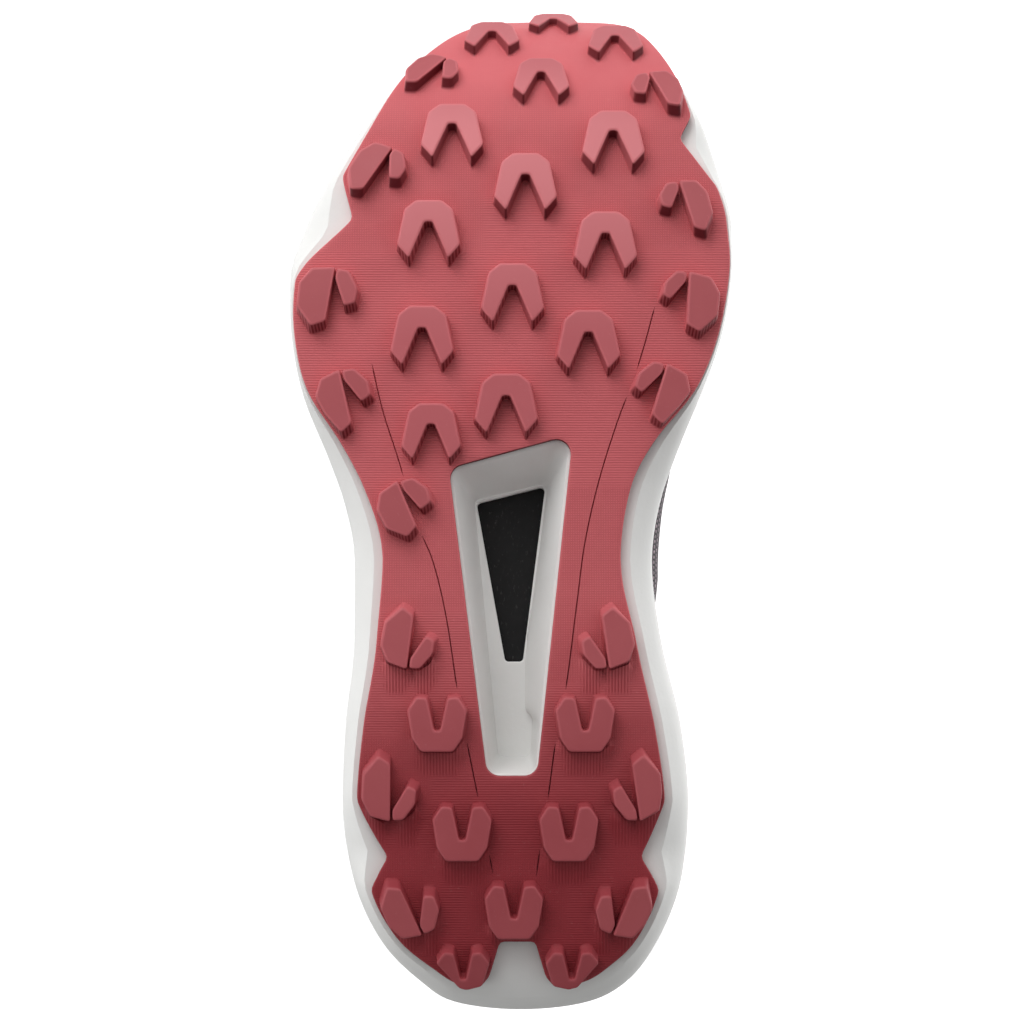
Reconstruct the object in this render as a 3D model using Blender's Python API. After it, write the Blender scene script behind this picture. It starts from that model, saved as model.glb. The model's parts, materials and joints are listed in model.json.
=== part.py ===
"""Trail running shoe for the right foot, lying on its medial side as put down on a floor.

The shoe is worked out upright, in millimetres: X towards the lateral side, Y from heel to toe and
Z up from the tread plane. mesh_object() turns that into metres, and lay_down() turns the whole shoe
onto the three points that carry it: the ball and heel edges of the sole and the side of the upper.
"""

import math

import bmesh
import bpy
import numpy as np
from mathutils import Matrix, Vector, geometry

MM = 0.001

# Driving sizes of the sole
SHOE_LENGTH = 290.0
BALL_WIDTH = 123.0
TREAD_THICKNESS = 2.5
LUG_HEIGHT = 4.5
TOE_RISE = 40.0
HEEL_RISE = 12.5
ARCH_RISE = 1.9
RIM_HEIGHT = 44.0
FOOTBED_HEIGHT = 30.0
EDGE_BAND = 10.0
RIM_LEAN = 3.0
RIM_THICKNESS = 2.5
CUP_LEAN = 1.5

# Driving sizes of the upper and of what is inside it
COLLAR_HEIGHT = 97.0
WALL = 2.2
COLLAR_PAD = 6.0
BULGE = 10.0
DOME = 6.0
BOARD_THICKNESS = 2.0
INSOLE_THICKNESS = 4.0
OVERLAY_THICKNESS = 1.2
TONGUE_THICKNESS = 4.5
TONGUE_REACH = 7.0
LACE_WIDTH = 5.0
LACE_THICKNESS = 1.8

# Driving sizes of the lugs
LUG_WIDTH = 17.2
LUG_LENGTH = 16.2
LUG_EDGE = 0.7

# Clearances between pieces that touch
GAP = 0.3
SOLE_GAP = 0.5
OVERLAY_GAP = 0.95
LACE_GAP = 0.9

# How finely round pieces are divided
SIDE_STEPS = 36
GRID_STEP = 13.0
ROW_SQUEEZE = 0.15

# Midsole outline at its widest. along is a share of SHOE_LENGTH, lateral and medial of BALL_WIDTH,
# and lateral_band and medial_band, the foam that shows outside the rubber, of EDGE_BAND.
OUTLINE_COLUMNS = ("along", "lateral", "medial", "lateral_band", "medial_band")
OUTLINE_ROWS = (
    (0.000, -0.008, 0.008, 0.73, 0.73),
    (0.009, 0.150, 0.168, 0.73, 0.80),
    (0.029, 0.220, 0.249, 0.70, 0.85),
    (0.067, 0.305, 0.315, 0.58, 0.70),
    (0.126, 0.369, 0.370, 0.51, 0.67),
    (0.203, 0.396, 0.388, 0.51, 0.76),
    (0.279, 0.389, 0.370, 0.60, 0.82),
    (0.359, 0.371, 0.327, 0.72, 0.78),
    (0.434, 0.371, 0.307, 0.87, 0.95),
    (0.490, 0.394, 0.325, 0.72, 0.95),
    (0.534, 0.431, 0.360, 0.54, 0.76),
    (0.591, 0.485, 0.414, 0.21, 0.22),
    (0.648, 0.512, 0.463, 0.17, 0.16),
    (0.707, 0.517, 0.487, 0.28, 0.16),
    (0.755, 0.485, 0.489, 0.48, 0.26),
    (0.807, 0.428, 0.463, 0.50, 0.36),
    (0.855, 0.359, 0.431, 0.40, 0.40),
    (0.903, 0.281, 0.385, 0.17, 0.22),
    (0.948, 0.202, 0.335, 0.16, 0.17),
    (0.979, 0.126, 0.286, 0.16, 0.16),
    (0.997, 0.037, 0.211, 0.16, 0.16),
    (1.000, -0.094, 0.094, 0.16, 0.16),
)

# V-shaped notches in the edge of the rubber: side is +1 lateral, -1 medial; apex, behind and ahead are
# shares of SHOE_LENGTH, deep is a share of EDGE_BAND.
NOTCH_COLUMNS = ("side", "apex", "deep", "behind", "ahead")
NOTCH_ROWS = (
    (1, 0.757, 0.88, 0.057, 0.041),
    (-1, 0.836, 0.57, 0.048, 0.024),
    (1, 0.155, 0.70, 0.031, 0.052),
    (-1, 0.155, 0.66, 0.031, 0.052),
)

# Rise of the rubber over the tread plane, as a share of TOE_RISE, HEEL_RISE or ARCH_RISE.
TOE_CURL = (
    (0.724, 0.000), (0.793, 0.022), (0.828, 0.053), (0.862, 0.110), (0.897, 0.225),
    (0.931, 0.387), (0.959, 0.562), (0.979, 0.737), (0.993, 0.900), (1.000, 1.000),
)
HEEL_CURL = ((0.000, 1.00), (0.021, 0.64), (0.048, 0.33), (0.083, 0.136), (0.124, 0.04), (0.172, 0.0))
ARCH_CURVE = ((0.293, 0.0), (0.345, 0.55), (0.431, 1.0), (0.517, 0.8), (0.603, 0.16), (0.640, 0.0))

# Top of the midsole rim as a share of RIM_HEIGHT, and the footbed inside it as one of FOOTBED_HEIGHT.
RIM_CURVE = ((0.0, 1.0), (0.21, 0.95), (0.36, 0.87), (0.5, 0.80), (0.69, 0.76), (0.82, 0.81), (0.93, 0.97), (1.0, 1.17))
FOOTBED_CURVE = ((0.0, 1.0), (0.21, 1.0), (0.34, 0.965), (0.52, 0.865), (0.69, 0.80), (0.79, 0.827), (0.862, 0.917), (0.914, 1.035), (0.966, 1.217), (1.0, 1.367))

# Upper, one row for each station of the sole. top_along is a share of SHOE_LENGTH, top_across of
# BALL_WIDTH and top_height of COLLAR_HEIGHT. full_up is how high the fullest place lies, as a share of the
# way from the rim to COLLAR_HEIGHT, and lateral_in and medial_in how far inside the sole's outline, as
# shares of BULGE. dome is a share of DOME and pad of COLLAR_PAD.
UPPER_COLUMNS = (
    "along", "top_along", "top_across", "top_height", "full_up", "lateral_in", "medial_in", "dome", "pad",
)
UPPER_ROWS = (
    (0.000, 0.034, 0.000, 1.000, 0.180, 0.15, 0.15, 0.5, 1.0),
    (0.041, 0.043, 0.122, 0.993, 0.180, 0.17, 0.17, 0.5, 1.0),
    (0.103, 0.072, 0.212, 0.930, 0.178, 0.25, 0.20, 0.4, 1.0),
    (0.179, 0.138, 0.252, 0.830, 0.168, 0.30, 0.25, 0.4, 1.0),
    (0.259, 0.214, 0.268, 0.758, 0.174, 0.40, 0.20, 0.5, 1.0),
    (0.338, 0.297, 0.240, 0.794, 0.198, 0.35, 0.05, 0.7, 0.9),
    (0.386, 0.345, 0.195, 0.887, 0.214, 0.25, -0.20, 0.8, 0.6),
    (0.428, 0.379, 0.150, 0.938, 0.225, 0.15, -0.40, 1.0, 0.2),
    (0.469, 0.414, 0.138, 0.907, 0.237, 0.10, -0.37, 1.1, 0.0),
    (0.517, 0.459, 0.130, 0.872, 0.236, 0.15, -0.23, 1.2, 0.0),
    (0.569, 0.503, 0.124, 0.832, 0.228, 0.20, 0.00, 1.2, 0.0),
    (0.638, 0.552, 0.117, 0.788, 0.205, 0.30, 0.25, 1.2, 0.0),
    (0.724, 0.603, 0.107, 0.748, 0.184, 0.32, 0.32, 1.0, 0.0),
    (0.810, 0.643, 0.085, 0.724, 0.170, 0.35, 0.35, 0.9, 0.0),
    (0.903, 0.662, 0.047, 0.714, 0.175, 0.47, 0.47, 0.8, 0.0),
    (1.000, 0.667, 0.000, 0.711, 0.180, 0.60, 0.60, 0.8, 0.0),
)
TOP_CENTRE = 0.010

# Window in the rubber and the hole above it in the foam: along as a share of SHOE_LENGTH and across of
# BALL_WIDTH, lateral positive, from the lateral front corner round to the lateral rear corner.
WINDOW_CORNERS = ((0.153, 0.520), (-0.124, 0.552), (-0.043, 0.230), (0.067, 0.230))
HOLE_CORNERS = ((0.094, 0.492), (-0.065, 0.509), (-0.013, 0.337), (0.028, 0.337))
WINDOW_RADIUS = 4.0
HOLE_RADIUS = 1.2
WINDOW_LIP = 0.8

NOTCH_CLEAR = 2.7

# Slot between the two rear lobes of the rubber: half width as a share of BALL_WIDTH, along of SHOE_LENGTH.
SLOT_ROWS = ((0.039, 0.075), (0.063, 0.040), (0.085, 0.029))

# Open lugs: across is a share of BALL_WIDTH, along of SHOE_LENGTH; opens is -1 towards the heel, +1
# towards the toe; size scales LUG_WIDTH and LUG_LENGTH; height is a share of LUG_HEIGHT.
LUG_COLUMNS = ("across", "along", "opens", "size", "height")
LUG_ROWS = (
    (0.059, 0.953, -1, 0.92, 0.62),
    (-0.228, 0.946, -1, 0.92, 0.62),
    (-0.086, 0.979, -1, 0.84, 0.55),
    (-0.054, 0.896, -1, 0.92, 0.72),
    (0.146, 0.838, -1, 1.00, 0.90),
    (-0.214, 0.831, -1, 1.00, 0.90),
    (-0.018, 0.788, -1, 1.00, 1.00),
    (0.197, 0.743, -1, 1.00, 1.00),
    (-0.195, 0.732, -1, 1.00, 1.00),
    (0.011, 0.683, -1, 1.00, 1.00),
    (0.211, 0.643, -1, 1.00, 1.00),
    (-0.157, 0.639, -1, 1.00, 1.00),
    (0.025, 0.580, -1, 1.00, 1.00),
    (0.191, 0.554, -1, 0.94, 1.00),
    (0.176, 0.279, 1, 0.93, 1.00),
    (-0.148, 0.279, 1, 0.93, 1.00),
    (0.121, 0.178, 1, 0.93, 1.00),
    (-0.112, 0.178, 1, 0.93, 1.00),
    (0.008, 0.106, 1, 0.92, 0.90),
    (0.120, 0.049, 1, 0.84, 0.75),
    (-0.120, 0.049, 1, 0.84, 0.75),
)

# Half of an open lug's face: across as a share of half LUG_WIDTH, along of half LUG_LENGTH, positive at
# its closed end. The last two are how far the foot spreads across and along, as shares of the height.
FORE_FACE = (
    (0.40, 0.98, 0.05, 0.11), (0.76, 0.68, 0.10, 0.06), (1.00, -0.54, 0.13, -0.12),
    (0.62, -1.00, 0.00, -0.50), (0.13, 0.24, -0.08, -0.12),
)
HEEL_FACE = (
    (0.54, 0.98, 0.05, 0.11), (0.84, 0.52, 0.10, 0.06), (1.00, -0.50, 0.10, -0.04),
    (0.70, -0.98, 0.04, -0.20), (0.34, -0.94, -0.06, -0.20), (0.10, 0.22, -0.05, -0.06),
)

# Split lugs at the edge, each a large outer and a small inner block that meet at the closed end of a
# slit. side, across, along and opens as above, for the closed end; turns are in degrees away from the
# other block; lengths and widths are shares of LUG_LENGTH and LUG_WIDTH.
SPLIT_COLUMNS = (
    "side", "across", "along", "opens", "outer_turn", "outer_length", "outer_width",
    "inner_turn", "inner_length", "inner_width", "height",
)
SPLIT_ROWS = (
    (1, 0.159, 0.920, -1, 36, 0.96, 0.37, -12, 0.59, 0.24, 0.65),
    (1, 0.276, 0.821, -1, 33, 1.02, 0.41, -10, 0.57, 0.25, 0.90),
    (1, 0.401, 0.707, -1, 10, 1.05, 0.52, 9, 0.68, 0.27, 1.00),
    (1, 0.391, 0.611, -1, -13, 1.04, 0.47, 31, 0.65, 0.27, 1.00),
    (1, 0.263, 0.507, -1, -23, 0.93, 0.48, 35, 0.62, 0.30, 1.00),
    (-1, 0.297, 0.902, -1, 20, 0.96, 0.41, 3, 0.56, 0.26, 0.65),
    (-1, 0.356, 0.789, -1, 17, 0.96, 0.38, 10, 0.50, 0.24, 0.92),
    (-1, 0.377, 0.703, -1, -3, 1.01, 0.51, 30, 0.57, 0.22, 1.00),
    (-1, 0.328, 0.617, -1, -17, 1.01, 0.50, 37, 0.65, 0.24, 1.00),
    (1, 0.241, 0.329, 1, -7, 1.03, 0.46, 26, 0.65, 0.23, 1.00),
    (-1, 0.199, 0.329, 1, -8, 1.03, 0.47, 26, 0.65, 0.24, 1.00),
    (1, 0.276, 0.189, 1, 0, 1.09, 0.45, 22, 0.67, 0.23, 1.00),
    (-1, 0.265, 0.189, 1, -8, 1.09, 0.48, 24, 0.68, 0.23, 1.00),
    (1, 0.206, 0.085, 1, 24, 0.99, 0.44, -2, 0.70, 0.25, 0.85),
    (-1, 0.206, 0.085, 1, 22, 0.99, 0.45, -1, 0.70, 0.25, 0.85),
)
# Faces of the two blocks: along and away from the slit, as shares of the block's length and width, and
# how far the foot spreads each way, as shares of the height.
OUTER_FACE = (
    (0.00, 0.00, -0.08, 0.00), (0.88, 0.00, 0.45, 0.00), (1.00, 0.42, 0.45, 0.05),
    (0.72, 0.95, 0.22, 0.14), (0.34, 1.00, 0.00, 0.12), (0.08, 0.70, -0.08, 0.10),
)
INNER_FACE = (
    (0.03, 0.00, -0.05, 0.00), (0.97, 0.04, 0.45, -0.05), (0.95, 0.70, 0.40, 0.10),
    (0.60, 1.00, 0.10, 0.12), (0.14, 0.66, -0.06, 0.10),
)
SLIT_WIDTH = 0.5
SLIT_CLOSED = 0.28

# Overlays: start and end are shares of the way round the upper's columns (0 heel, 0.25 lateral, 0.5 toe),
# low and high the rows that they cover at the middle and at the ends.
TOE_CAP = {"start": 0.3889, "end": 0.6111, "low": 1.45, "middle": 4.1, "ends": 3.0}
HEEL_COUNTER = {"start": -0.0972, "end": 0.0972, "low": 1.15, "middle": 4.6, "ends": 3.0}
EYESTAY = {"start": 0.222, "end": 0.778, "ends": 6.0, "middle": 6.9, "high": 7.9}

# Lace crossings from the lowest to the highest eyelets, as shares of SHOE_LENGTH.
EYELET_STATIONS = (0.700, 0.640, 0.585, 0.533, 0.484, 0.442)
EYELET_ROW = 7.35
LACE_RISE = 2.0
LACE_EDGE = 0.2
LACE_STEPS = 10

COLOURS = {
    "outsole": ((0.50, 0.115, 0.13), 0.6),
    "midsole": ((0.72, 0.72, 0.70), 0.7),
    "lasting_board": ((0.02, 0.02, 0.022), 0.9),
    "insole": ((0.05, 0.05, 0.055), 0.9),
    "upper": ((0.06, 0.05, 0.06), 0.85),
    "toe_cap": ((0.02, 0.02, 0.022), 0.6),
    "heel_counter": ((0.02, 0.02, 0.022), 0.6),
    "eyestay": ((0.03, 0.028, 0.032), 0.7),
    "tongue": ((0.05, 0.045, 0.05), 0.9),
    "laces": ((0.35, 0.30, 0.32), 0.8),
}
# Kilograms a cubic metre, for the point over which the shoe comes to rest.
DENSITIES = {"outsole": 1200.0}
SOFT_DENSITY = 300.0


def column(rows, columns, name):
    place = columns.index(name)
    return np.array([row[place] for row in rows], float)


def hermite(x, xs, ys):
    """Smooth curve through a table's points, level beyond its ends."""
    xs, ys = np.asarray(xs, float), np.asarray(ys, float)
    x = np.clip(np.asarray(x, float), xs[0], xs[-1])
    rise = np.diff(ys) / np.diff(xs)
    slopes = np.concatenate([[rise[0]], (rise[1:] + rise[:-1]) / 2, [rise[-1]]])
    turning = np.concatenate([[False], rise[1:] * rise[:-1] <= 0, [False]])
    slopes = np.where(turning, 0.0, slopes)
    k = np.clip(np.searchsorted(xs, x, side="right") - 1, 0, len(xs) - 2)
    step = xs[k + 1] - xs[k]
    t = (x - xs[k]) / step
    a = (1 + 2 * t) * (1 - t) ** 2
    b = t * (1 - t) ** 2
    c = t * t * (3 - 2 * t)
    d = t * t * (t - 1)
    return a * ys[k] + b * step * slopes[k] + c * ys[k + 1] + d * step * slopes[k + 1]


def curve(table, y):
    """A two-column table of shares, read at y in millimetres from the heel."""
    xs, ys = zip(*table)
    return hermite(np.asarray(y, float) / SHOE_LENGTH, xs, ys)


def rubber_height(y):
    """Height of the rubber between its lugs."""
    toe = TOE_RISE * curve(TOE_CURL, y)
    heel = HEEL_RISE * curve(HEEL_CURL, y)
    arch = ARCH_RISE * curve(ARCH_CURVE, y)
    return LUG_HEIGHT + toe + heel + arch


def foam_height(y):
    """Height of the midsole's underside."""
    return rubber_height(y) + TREAD_THICKNESS + SOLE_GAP


def rim_height(y):
    return RIM_HEIGHT * curve(RIM_CURVE, y)


def footbed_height(y):
    return FOOTBED_HEIGHT * curve(FOOTBED_CURVE, y)


def turn_of(along):
    """A share of the length as an angle, so that heel and toe come out round."""
    return np.arccos(np.clip(1 - 2 * np.asarray(along, float), -1, 1))


def outline_value(name, turn):
    along = column(OUTLINE_ROWS, OUTLINE_COLUMNS, "along")
    return hermite(turn, turn_of(along), column(OUTLINE_ROWS, OUTLINE_COLUMNS, name))


def notch_depth(side, y):
    """How far the V-shaped notches cut into the rubber's edge on one side."""
    depth = np.zeros_like(np.asarray(y, float))
    for row in NOTCH_ROWS:
        notch = dict(zip(NOTCH_COLUMNS, row))
        if notch["side"] != side:
            continue
        away = np.asarray(y, float) / SHOE_LENGTH - notch["apex"]
        reach = np.where(away < 0, notch["behind"], notch["ahead"])
        depth += EDGE_BAND * notch["deep"] * np.clip(1 - np.abs(away) / reach, 0, 1)
    return depth


class Perimeter:
    """The sole's outline: lateral side from heel to toe, then medial side back, with outward normals."""

    def __init__(self, steps):
        turns = np.linspace(0, math.pi, steps + 1)
        y = SHOE_LENGTH * (1 - np.cos(turns)) / 2
        lateral = BALL_WIDTH * outline_value("lateral", turns)
        medial = -BALL_WIDTH * outline_value("medial", turns)
        back = slice(steps - 1, 0, -1)
        self.points = np.concatenate([
            np.column_stack([lateral, y]),
            np.column_stack([medial[back], y[back]]),
        ])
        self.side = np.concatenate([np.ones(steps + 1), -np.ones(steps - 1)])
        self.turn = np.concatenate([turns, turns[back]])
        band = np.concatenate([
            outline_value("lateral_band", turns),
            outline_value("medial_band", turns[back]),
        ])
        self.band = EDGE_BAND * band
        ahead = np.roll(self.points, -1, axis=0) - np.roll(self.points, 1, axis=0)
        normal = np.column_stack([ahead[:, 1], -ahead[:, 0]])
        self.normal = normal / np.linalg.norm(normal, axis=1)[:, None]
        self.count = len(self.points)

    def inset(self, amount):
        return self.points - self.normal * np.broadcast_to(amount, self.count)[:, None]

    def notches(self):
        depth = np.where(self.side > 0, notch_depth(1, self.points[:, 1]), notch_depth(-1, self.points[:, 1]))
        return depth


def rounded(corners, radius, steps):
    """A closed outline with each corner rounded by an arc."""
    points = []
    count = len(corners)
    for k in range(count):
        here = Vector(corners[k])
        before = (Vector(corners[k - 1]) - here).normalized()
        after = (Vector(corners[(k + 1) % count]) - here).normalized()
        half = before.angle(after) / 2
        centre = here + (before + after).normalized() * (radius / math.sin(half))
        first = here + before * (radius / math.tan(half)) - centre
        last = here + after * (radius / math.tan(half)) - centre
        sweep = first.angle_signed(last)
        for step in range(steps + 1):
            arm = first.copy()
            arm.rotate(Matrix.Rotation(-sweep * step / steps, 2))
            points.append(tuple(centre + arm))
    return points


def corners_of(table, grow=0.0):
    """The window's corners in millimetres, moved outwards by grow."""
    corners = [Vector((BALL_WIDTH * across, SHOE_LENGTH * along)) for across, along in table]
    centre = sum(corners, Vector((0, 0))) / len(corners)
    moved = []
    for corner in corners:
        away = corner - centre
        moved.append(corner + Vector((math.copysign(grow, away.x), math.copysign(grow, away.y))))
    return [tuple(corner) for corner in moved]


def inside(points, loop):
    """Which points lie inside a closed outline."""
    points, loop = np.atleast_2d(points), np.asarray(loop, float)
    start, end = loop, np.roll(loop, -1, axis=0)
    x, y = points[:, :1], points[:, 1:]
    crosses = (start[:, 1] > y) != (end[:, 1] > y)
    rise = np.where(end[:, 1] == start[:, 1], 1e-12, end[:, 1] - start[:, 1])
    at = start[:, 0] + (y - start[:, 1]) * (end[:, 0] - start[:, 0]) / rise
    return (crosses & (x < at)).sum(axis=1) % 2 == 1


def distance(points, loop):
    """Distance of each point from a closed outline."""
    points, loop = np.atleast_2d(points), np.asarray(loop, float)
    start, end = loop, np.roll(loop, -1, axis=0)
    run = end - start
    length = np.maximum((run ** 2).sum(axis=1), 1e-12)
    away = points[:, None, :] - start[None, :, :]
    share = np.clip((away * run).sum(axis=2) / length, 0, 1)
    nearest = start[None, :, :] + share[:, :, None] * run
    return np.linalg.norm(points[:, None, :] - nearest, axis=2).min(axis=1)


def grid_inside(loop, holes, step):
    """Points on a grid inside an outline and clear of it and of its holes."""
    loop = np.asarray(loop, float)
    low, high = loop.min(axis=0), loop.max(axis=0)
    columns = np.linspace(low[0], high[0], max(2, round((high[0] - low[0]) / step)) + 1)[1:-1]
    rows = SHOE_LENGTH * (1 - np.cos(np.linspace(0, math.pi, SIDE_STEPS + 1))) / 2
    grid = np.array([(x, y) for y in rows for x in columns])
    spacing = np.repeat(np.gradient(rows), len(columns))
    keep = inside(grid, loop) & (distance(grid, loop) > np.minimum(step * 0.45, spacing * 0.6))
    for hole in holes:
        keep &= ~inside(grid, hole) & (distance(grid, hole) > step * 0.22)
    return grid[keep]


def triangles(loops, inner):
    """Triangles between the first outline and the others, indexed into all their points and then inner."""
    points, edges = [], []
    for loop in loops:
        first = len(points)
        points += [Vector((float(x), float(y))) for x, y in loop]
        edges += [(first + k, first + (k + 1) % len(loop)) for k in range(len(loop))]
    points += [Vector((float(x), float(y))) for x, y in inner]
    verts, _, faces, origins, _, _ = geometry.delaunay_2d_cdt(points, edges, [], 0, 1e-5)
    centres = np.array([sum((verts[k] for k in face), Vector((0, 0))) / 3 for face in faces])
    keep = inside(centres, loops[0])
    for loop in loops[1:]:
        keep &= ~inside(centres, loop)
    crossings = [f"({v.x:.1f}, {v.y:.1f})" for v, origin in zip(verts, origins) if not origin]
    if crossings:
        raise ValueError("outlines cross at " + " ".join(crossings))
    index = [origin[0] for origin in origins]
    return [[index[k] for k in face] for face, kept in zip(faces, keep) if kept]


def mesh_object(name, points, faces):
    """An object from points in millimetres, closed, facing out, with its own material."""
    mesh = bpy.data.meshes.new(name)
    mesh.from_pydata([tuple(float(c) * MM for c in point) for point in points], [], faces)
    body = bmesh.new()
    body.from_mesh(mesh)
    bmesh.ops.recalc_face_normals(body, faces=body.faces)
    if body.calc_volume(signed=True) < 0:
        bmesh.ops.reverse_faces(body, faces=body.faces)
    body.to_mesh(mesh)
    body.free()
    mesh.shade_smooth()
    mesh.set_sharp_from_angle(angle=math.radians(32))
    obj = bpy.data.objects.new(name, mesh)
    bpy.context.scene.collection.objects.link(obj)
    return obj


def give_material(obj):
    colour, roughness = COLOURS[obj.name]
    material = bpy.data.materials.new(obj.name)
    material.use_nodes = True
    shader = material.node_tree.nodes["Principled BSDF"]
    shader.inputs["Base Color"].default_value = (*colour, 1)
    shader.inputs["Roughness"].default_value = roughness
    shader.inputs["Metallic"].default_value = 0.0
    obj.data.materials.append(material)


def strip(first, second, count, closed=True):
    """Quads between two rings of points that start at these indices."""
    steps = count if closed else count - 1
    return [
        (first + k, first + (k + 1) % count, second + (k + 1) % count, second + k) for k in range(steps)
    ]


def land_outline(perimeter):
    """The outsole's outline with its notches and the slot between its rear lobes."""
    edge = perimeter.inset(perimeter.band)
    toe = int(np.argmax(edge[:, 1]))
    heel = int(np.argmin(edge[:, 1]))
    lateral = edge[heel:toe + 1]
    medial = np.concatenate([edge[toe:], edge[:heel + 1]])[::-1]
    sides = {}
    for side, points in ((1, lateral), (-1, medial)):
        points = points[np.argsort(points[:, 1])]
        stations = list(points[:, 1])
        for row in NOTCH_ROWS:
            notch = dict(zip(NOTCH_COLUMNS, row))
            if notch["side"] != side:
                continue
            keys = [notch["apex"] - notch["behind"], notch["apex"], notch["apex"] + notch["ahead"]]
            keys = [SHOE_LENGTH * key for key in keys]
            stations = [y for y in stations if min(abs(y - key) for key in keys) > NOTCH_CLEAR] + keys
        stations = np.array(sorted(stations))
        across = np.interp(stations, points[:, 1], points[:, 0]) - side * notch_depth(side, stations)
        sides[side] = np.column_stack([across, stations])
    slot = [(BALL_WIDTH * half, SHOE_LENGTH * along) for half, along in SLOT_ROWS]
    clear = slot[-1][0] + NOTCH_CLEAR
    rear = slot[0][1]

    def behind_slot(points):
        return points[(np.abs(points[:, 0]) > clear) | (points[:, 1] > rear * 2)]

    lateral_side, medial_side = behind_slot(sides[1]), behind_slot(sides[-1])[::-1]
    ring = [*slot, *map(tuple, lateral_side), *map(tuple, medial_side[1:])]
    return np.array(ring + [(-x, y) for x, y in reversed(slot)])


class Tread:
    """The curved underside, on which lugs are set by their distance along the curve."""

    def __init__(self, land, window):
        self.land, self.window = land, window
        self.y = np.linspace(0, SHOE_LENGTH, 581)
        self.z = rubber_height(self.y)
        steps = np.hypot(np.diff(self.y), np.diff(self.z))
        self.run = np.concatenate([[0], np.cumsum(steps)])

    def run_at(self, y):
        return np.interp(y, self.y, self.run)

    def y_at(self, run):
        return np.interp(run, self.run, self.y)

    def slope_at(self, y):
        step = 3.0
        return math.atan2(float(rubber_height(y + step) - rubber_height(y - step)), 2 * step)

    def on_land(self, point, margin):
        point = np.array([point])
        if not inside(point, self.land)[0] or inside(point, self.window)[0]:
            return False
        return min(distance(point, self.land)[0], distance(point, self.window)[0]) >= margin

    def plan(self, centre, across, along):
        """The plan position of a point that lies across and along the surface from a lug's centre."""
        return (centre[0] + across, float(self.y_at(self.run_at(centre[1]) + along)))

    def held(self, centre, across, along, start, margin):
        """The point moved back towards start until it stands on the land."""
        for step in range(21):
            share = 1 - step / 20
            u = start[0] + (across - start[0]) * share
            v = start[1] + (along - start[1]) * share
            if self.on_land(self.plan(centre, u, v), margin):
                return u, v
        return start


def lug_shape(tread, centre, face, spread, height, anchor):
    """Foot points on the rubber and the flat face of one lug, from its face outline."""
    face = [tread.held(centre, u, v, anchor, LUG_EDGE + 0.1) for u, v in face]
    foot = [(u + du * height, v + dv * height) for (u, v), (du, dv) in zip(face, spread)]
    foot = [tread.held(centre, u, v, start, LUG_EDGE) for (u, v), start in zip(foot, face)]
    foot = [tread.plan(centre, u, v) for u, v in foot]
    tilt = tread.slope_at(centre[1])
    z = float(rubber_height(centre[1]))
    top = [
        (
            centre[0] + u,
            centre[1] + v * math.cos(tilt) + height * math.sin(tilt),
            z + v * math.sin(tilt) - height * math.cos(tilt),
        )
        for u, v in face
    ]
    return foot, top


def open_lug(tread, row):
    lug = dict(zip(LUG_COLUMNS, row))
    centre = (BALL_WIDTH * lug["across"], SHOE_LENGTH * lug["along"])
    half_width, half_length = LUG_WIDTH * lug["size"] / 2, LUG_LENGTH * lug["size"] / 2
    half = FORE_FACE if lug["opens"] < 0 else HEEL_FACE
    points = [*half, *[(-u, v, -du, dv) for u, v, du, dv in reversed(half)]]
    face = [(u * half_width, -lug["opens"] * v * half_length) for u, v, _, _ in points]
    spread = [(du, -lug["opens"] * dv) for _, _, du, dv in points]
    anchor = (0.0, -lug["opens"] * 0.62 * half_length)
    return lug_shape(tread, centre, face, spread, LUG_HEIGHT * lug["height"], anchor)


def split_lug(tread, row):
    """The outer and the inner block of a split lug."""
    lug = dict(zip(SPLIT_COLUMNS, row))
    centre = (lug["side"] * BALL_WIDTH * lug["across"], SHOE_LENGTH * lug["along"])
    blocks = []
    for name, outline, away in (("outer", OUTER_FACE, 1), ("inner", INNER_FACE, -1)):
        turn = math.radians(lug[name + "_turn"])
        length, width = LUG_LENGTH * lug[name + "_length"], LUG_WIDTH * lug[name + "_width"]
        side = lug["side"] * away

        def turned(along, off, apart):
            u = math.sin(turn) * along + math.cos(turn) * off + apart
            return side * u, lug["opens"] * (math.cos(turn) * along - math.sin(turn) * off)

        face = [turned(along * length, off * width, SLIT_WIDTH / 2) for along, off, _, _ in outline]
        spread = [turned(along, off, 0) for _, _, along, off in outline]
        if name == "inner":
            reach, slit = SLIT_CLOSED * length, math.radians(lug["outer_turn"])
            u = side * (SLIT_WIDTH / 2 - math.sin(slit) * reach)
            face.insert(1, (u, lug["opens"] * math.cos(slit) * reach))
            spread.insert(1, (0.0, 0.0))
        anchor = tuple(np.mean(face, axis=0))
        blocks.append(lug_shape(tread, centre, face, spread, LUG_HEIGHT * lug["height"], anchor))
    return blocks


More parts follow.
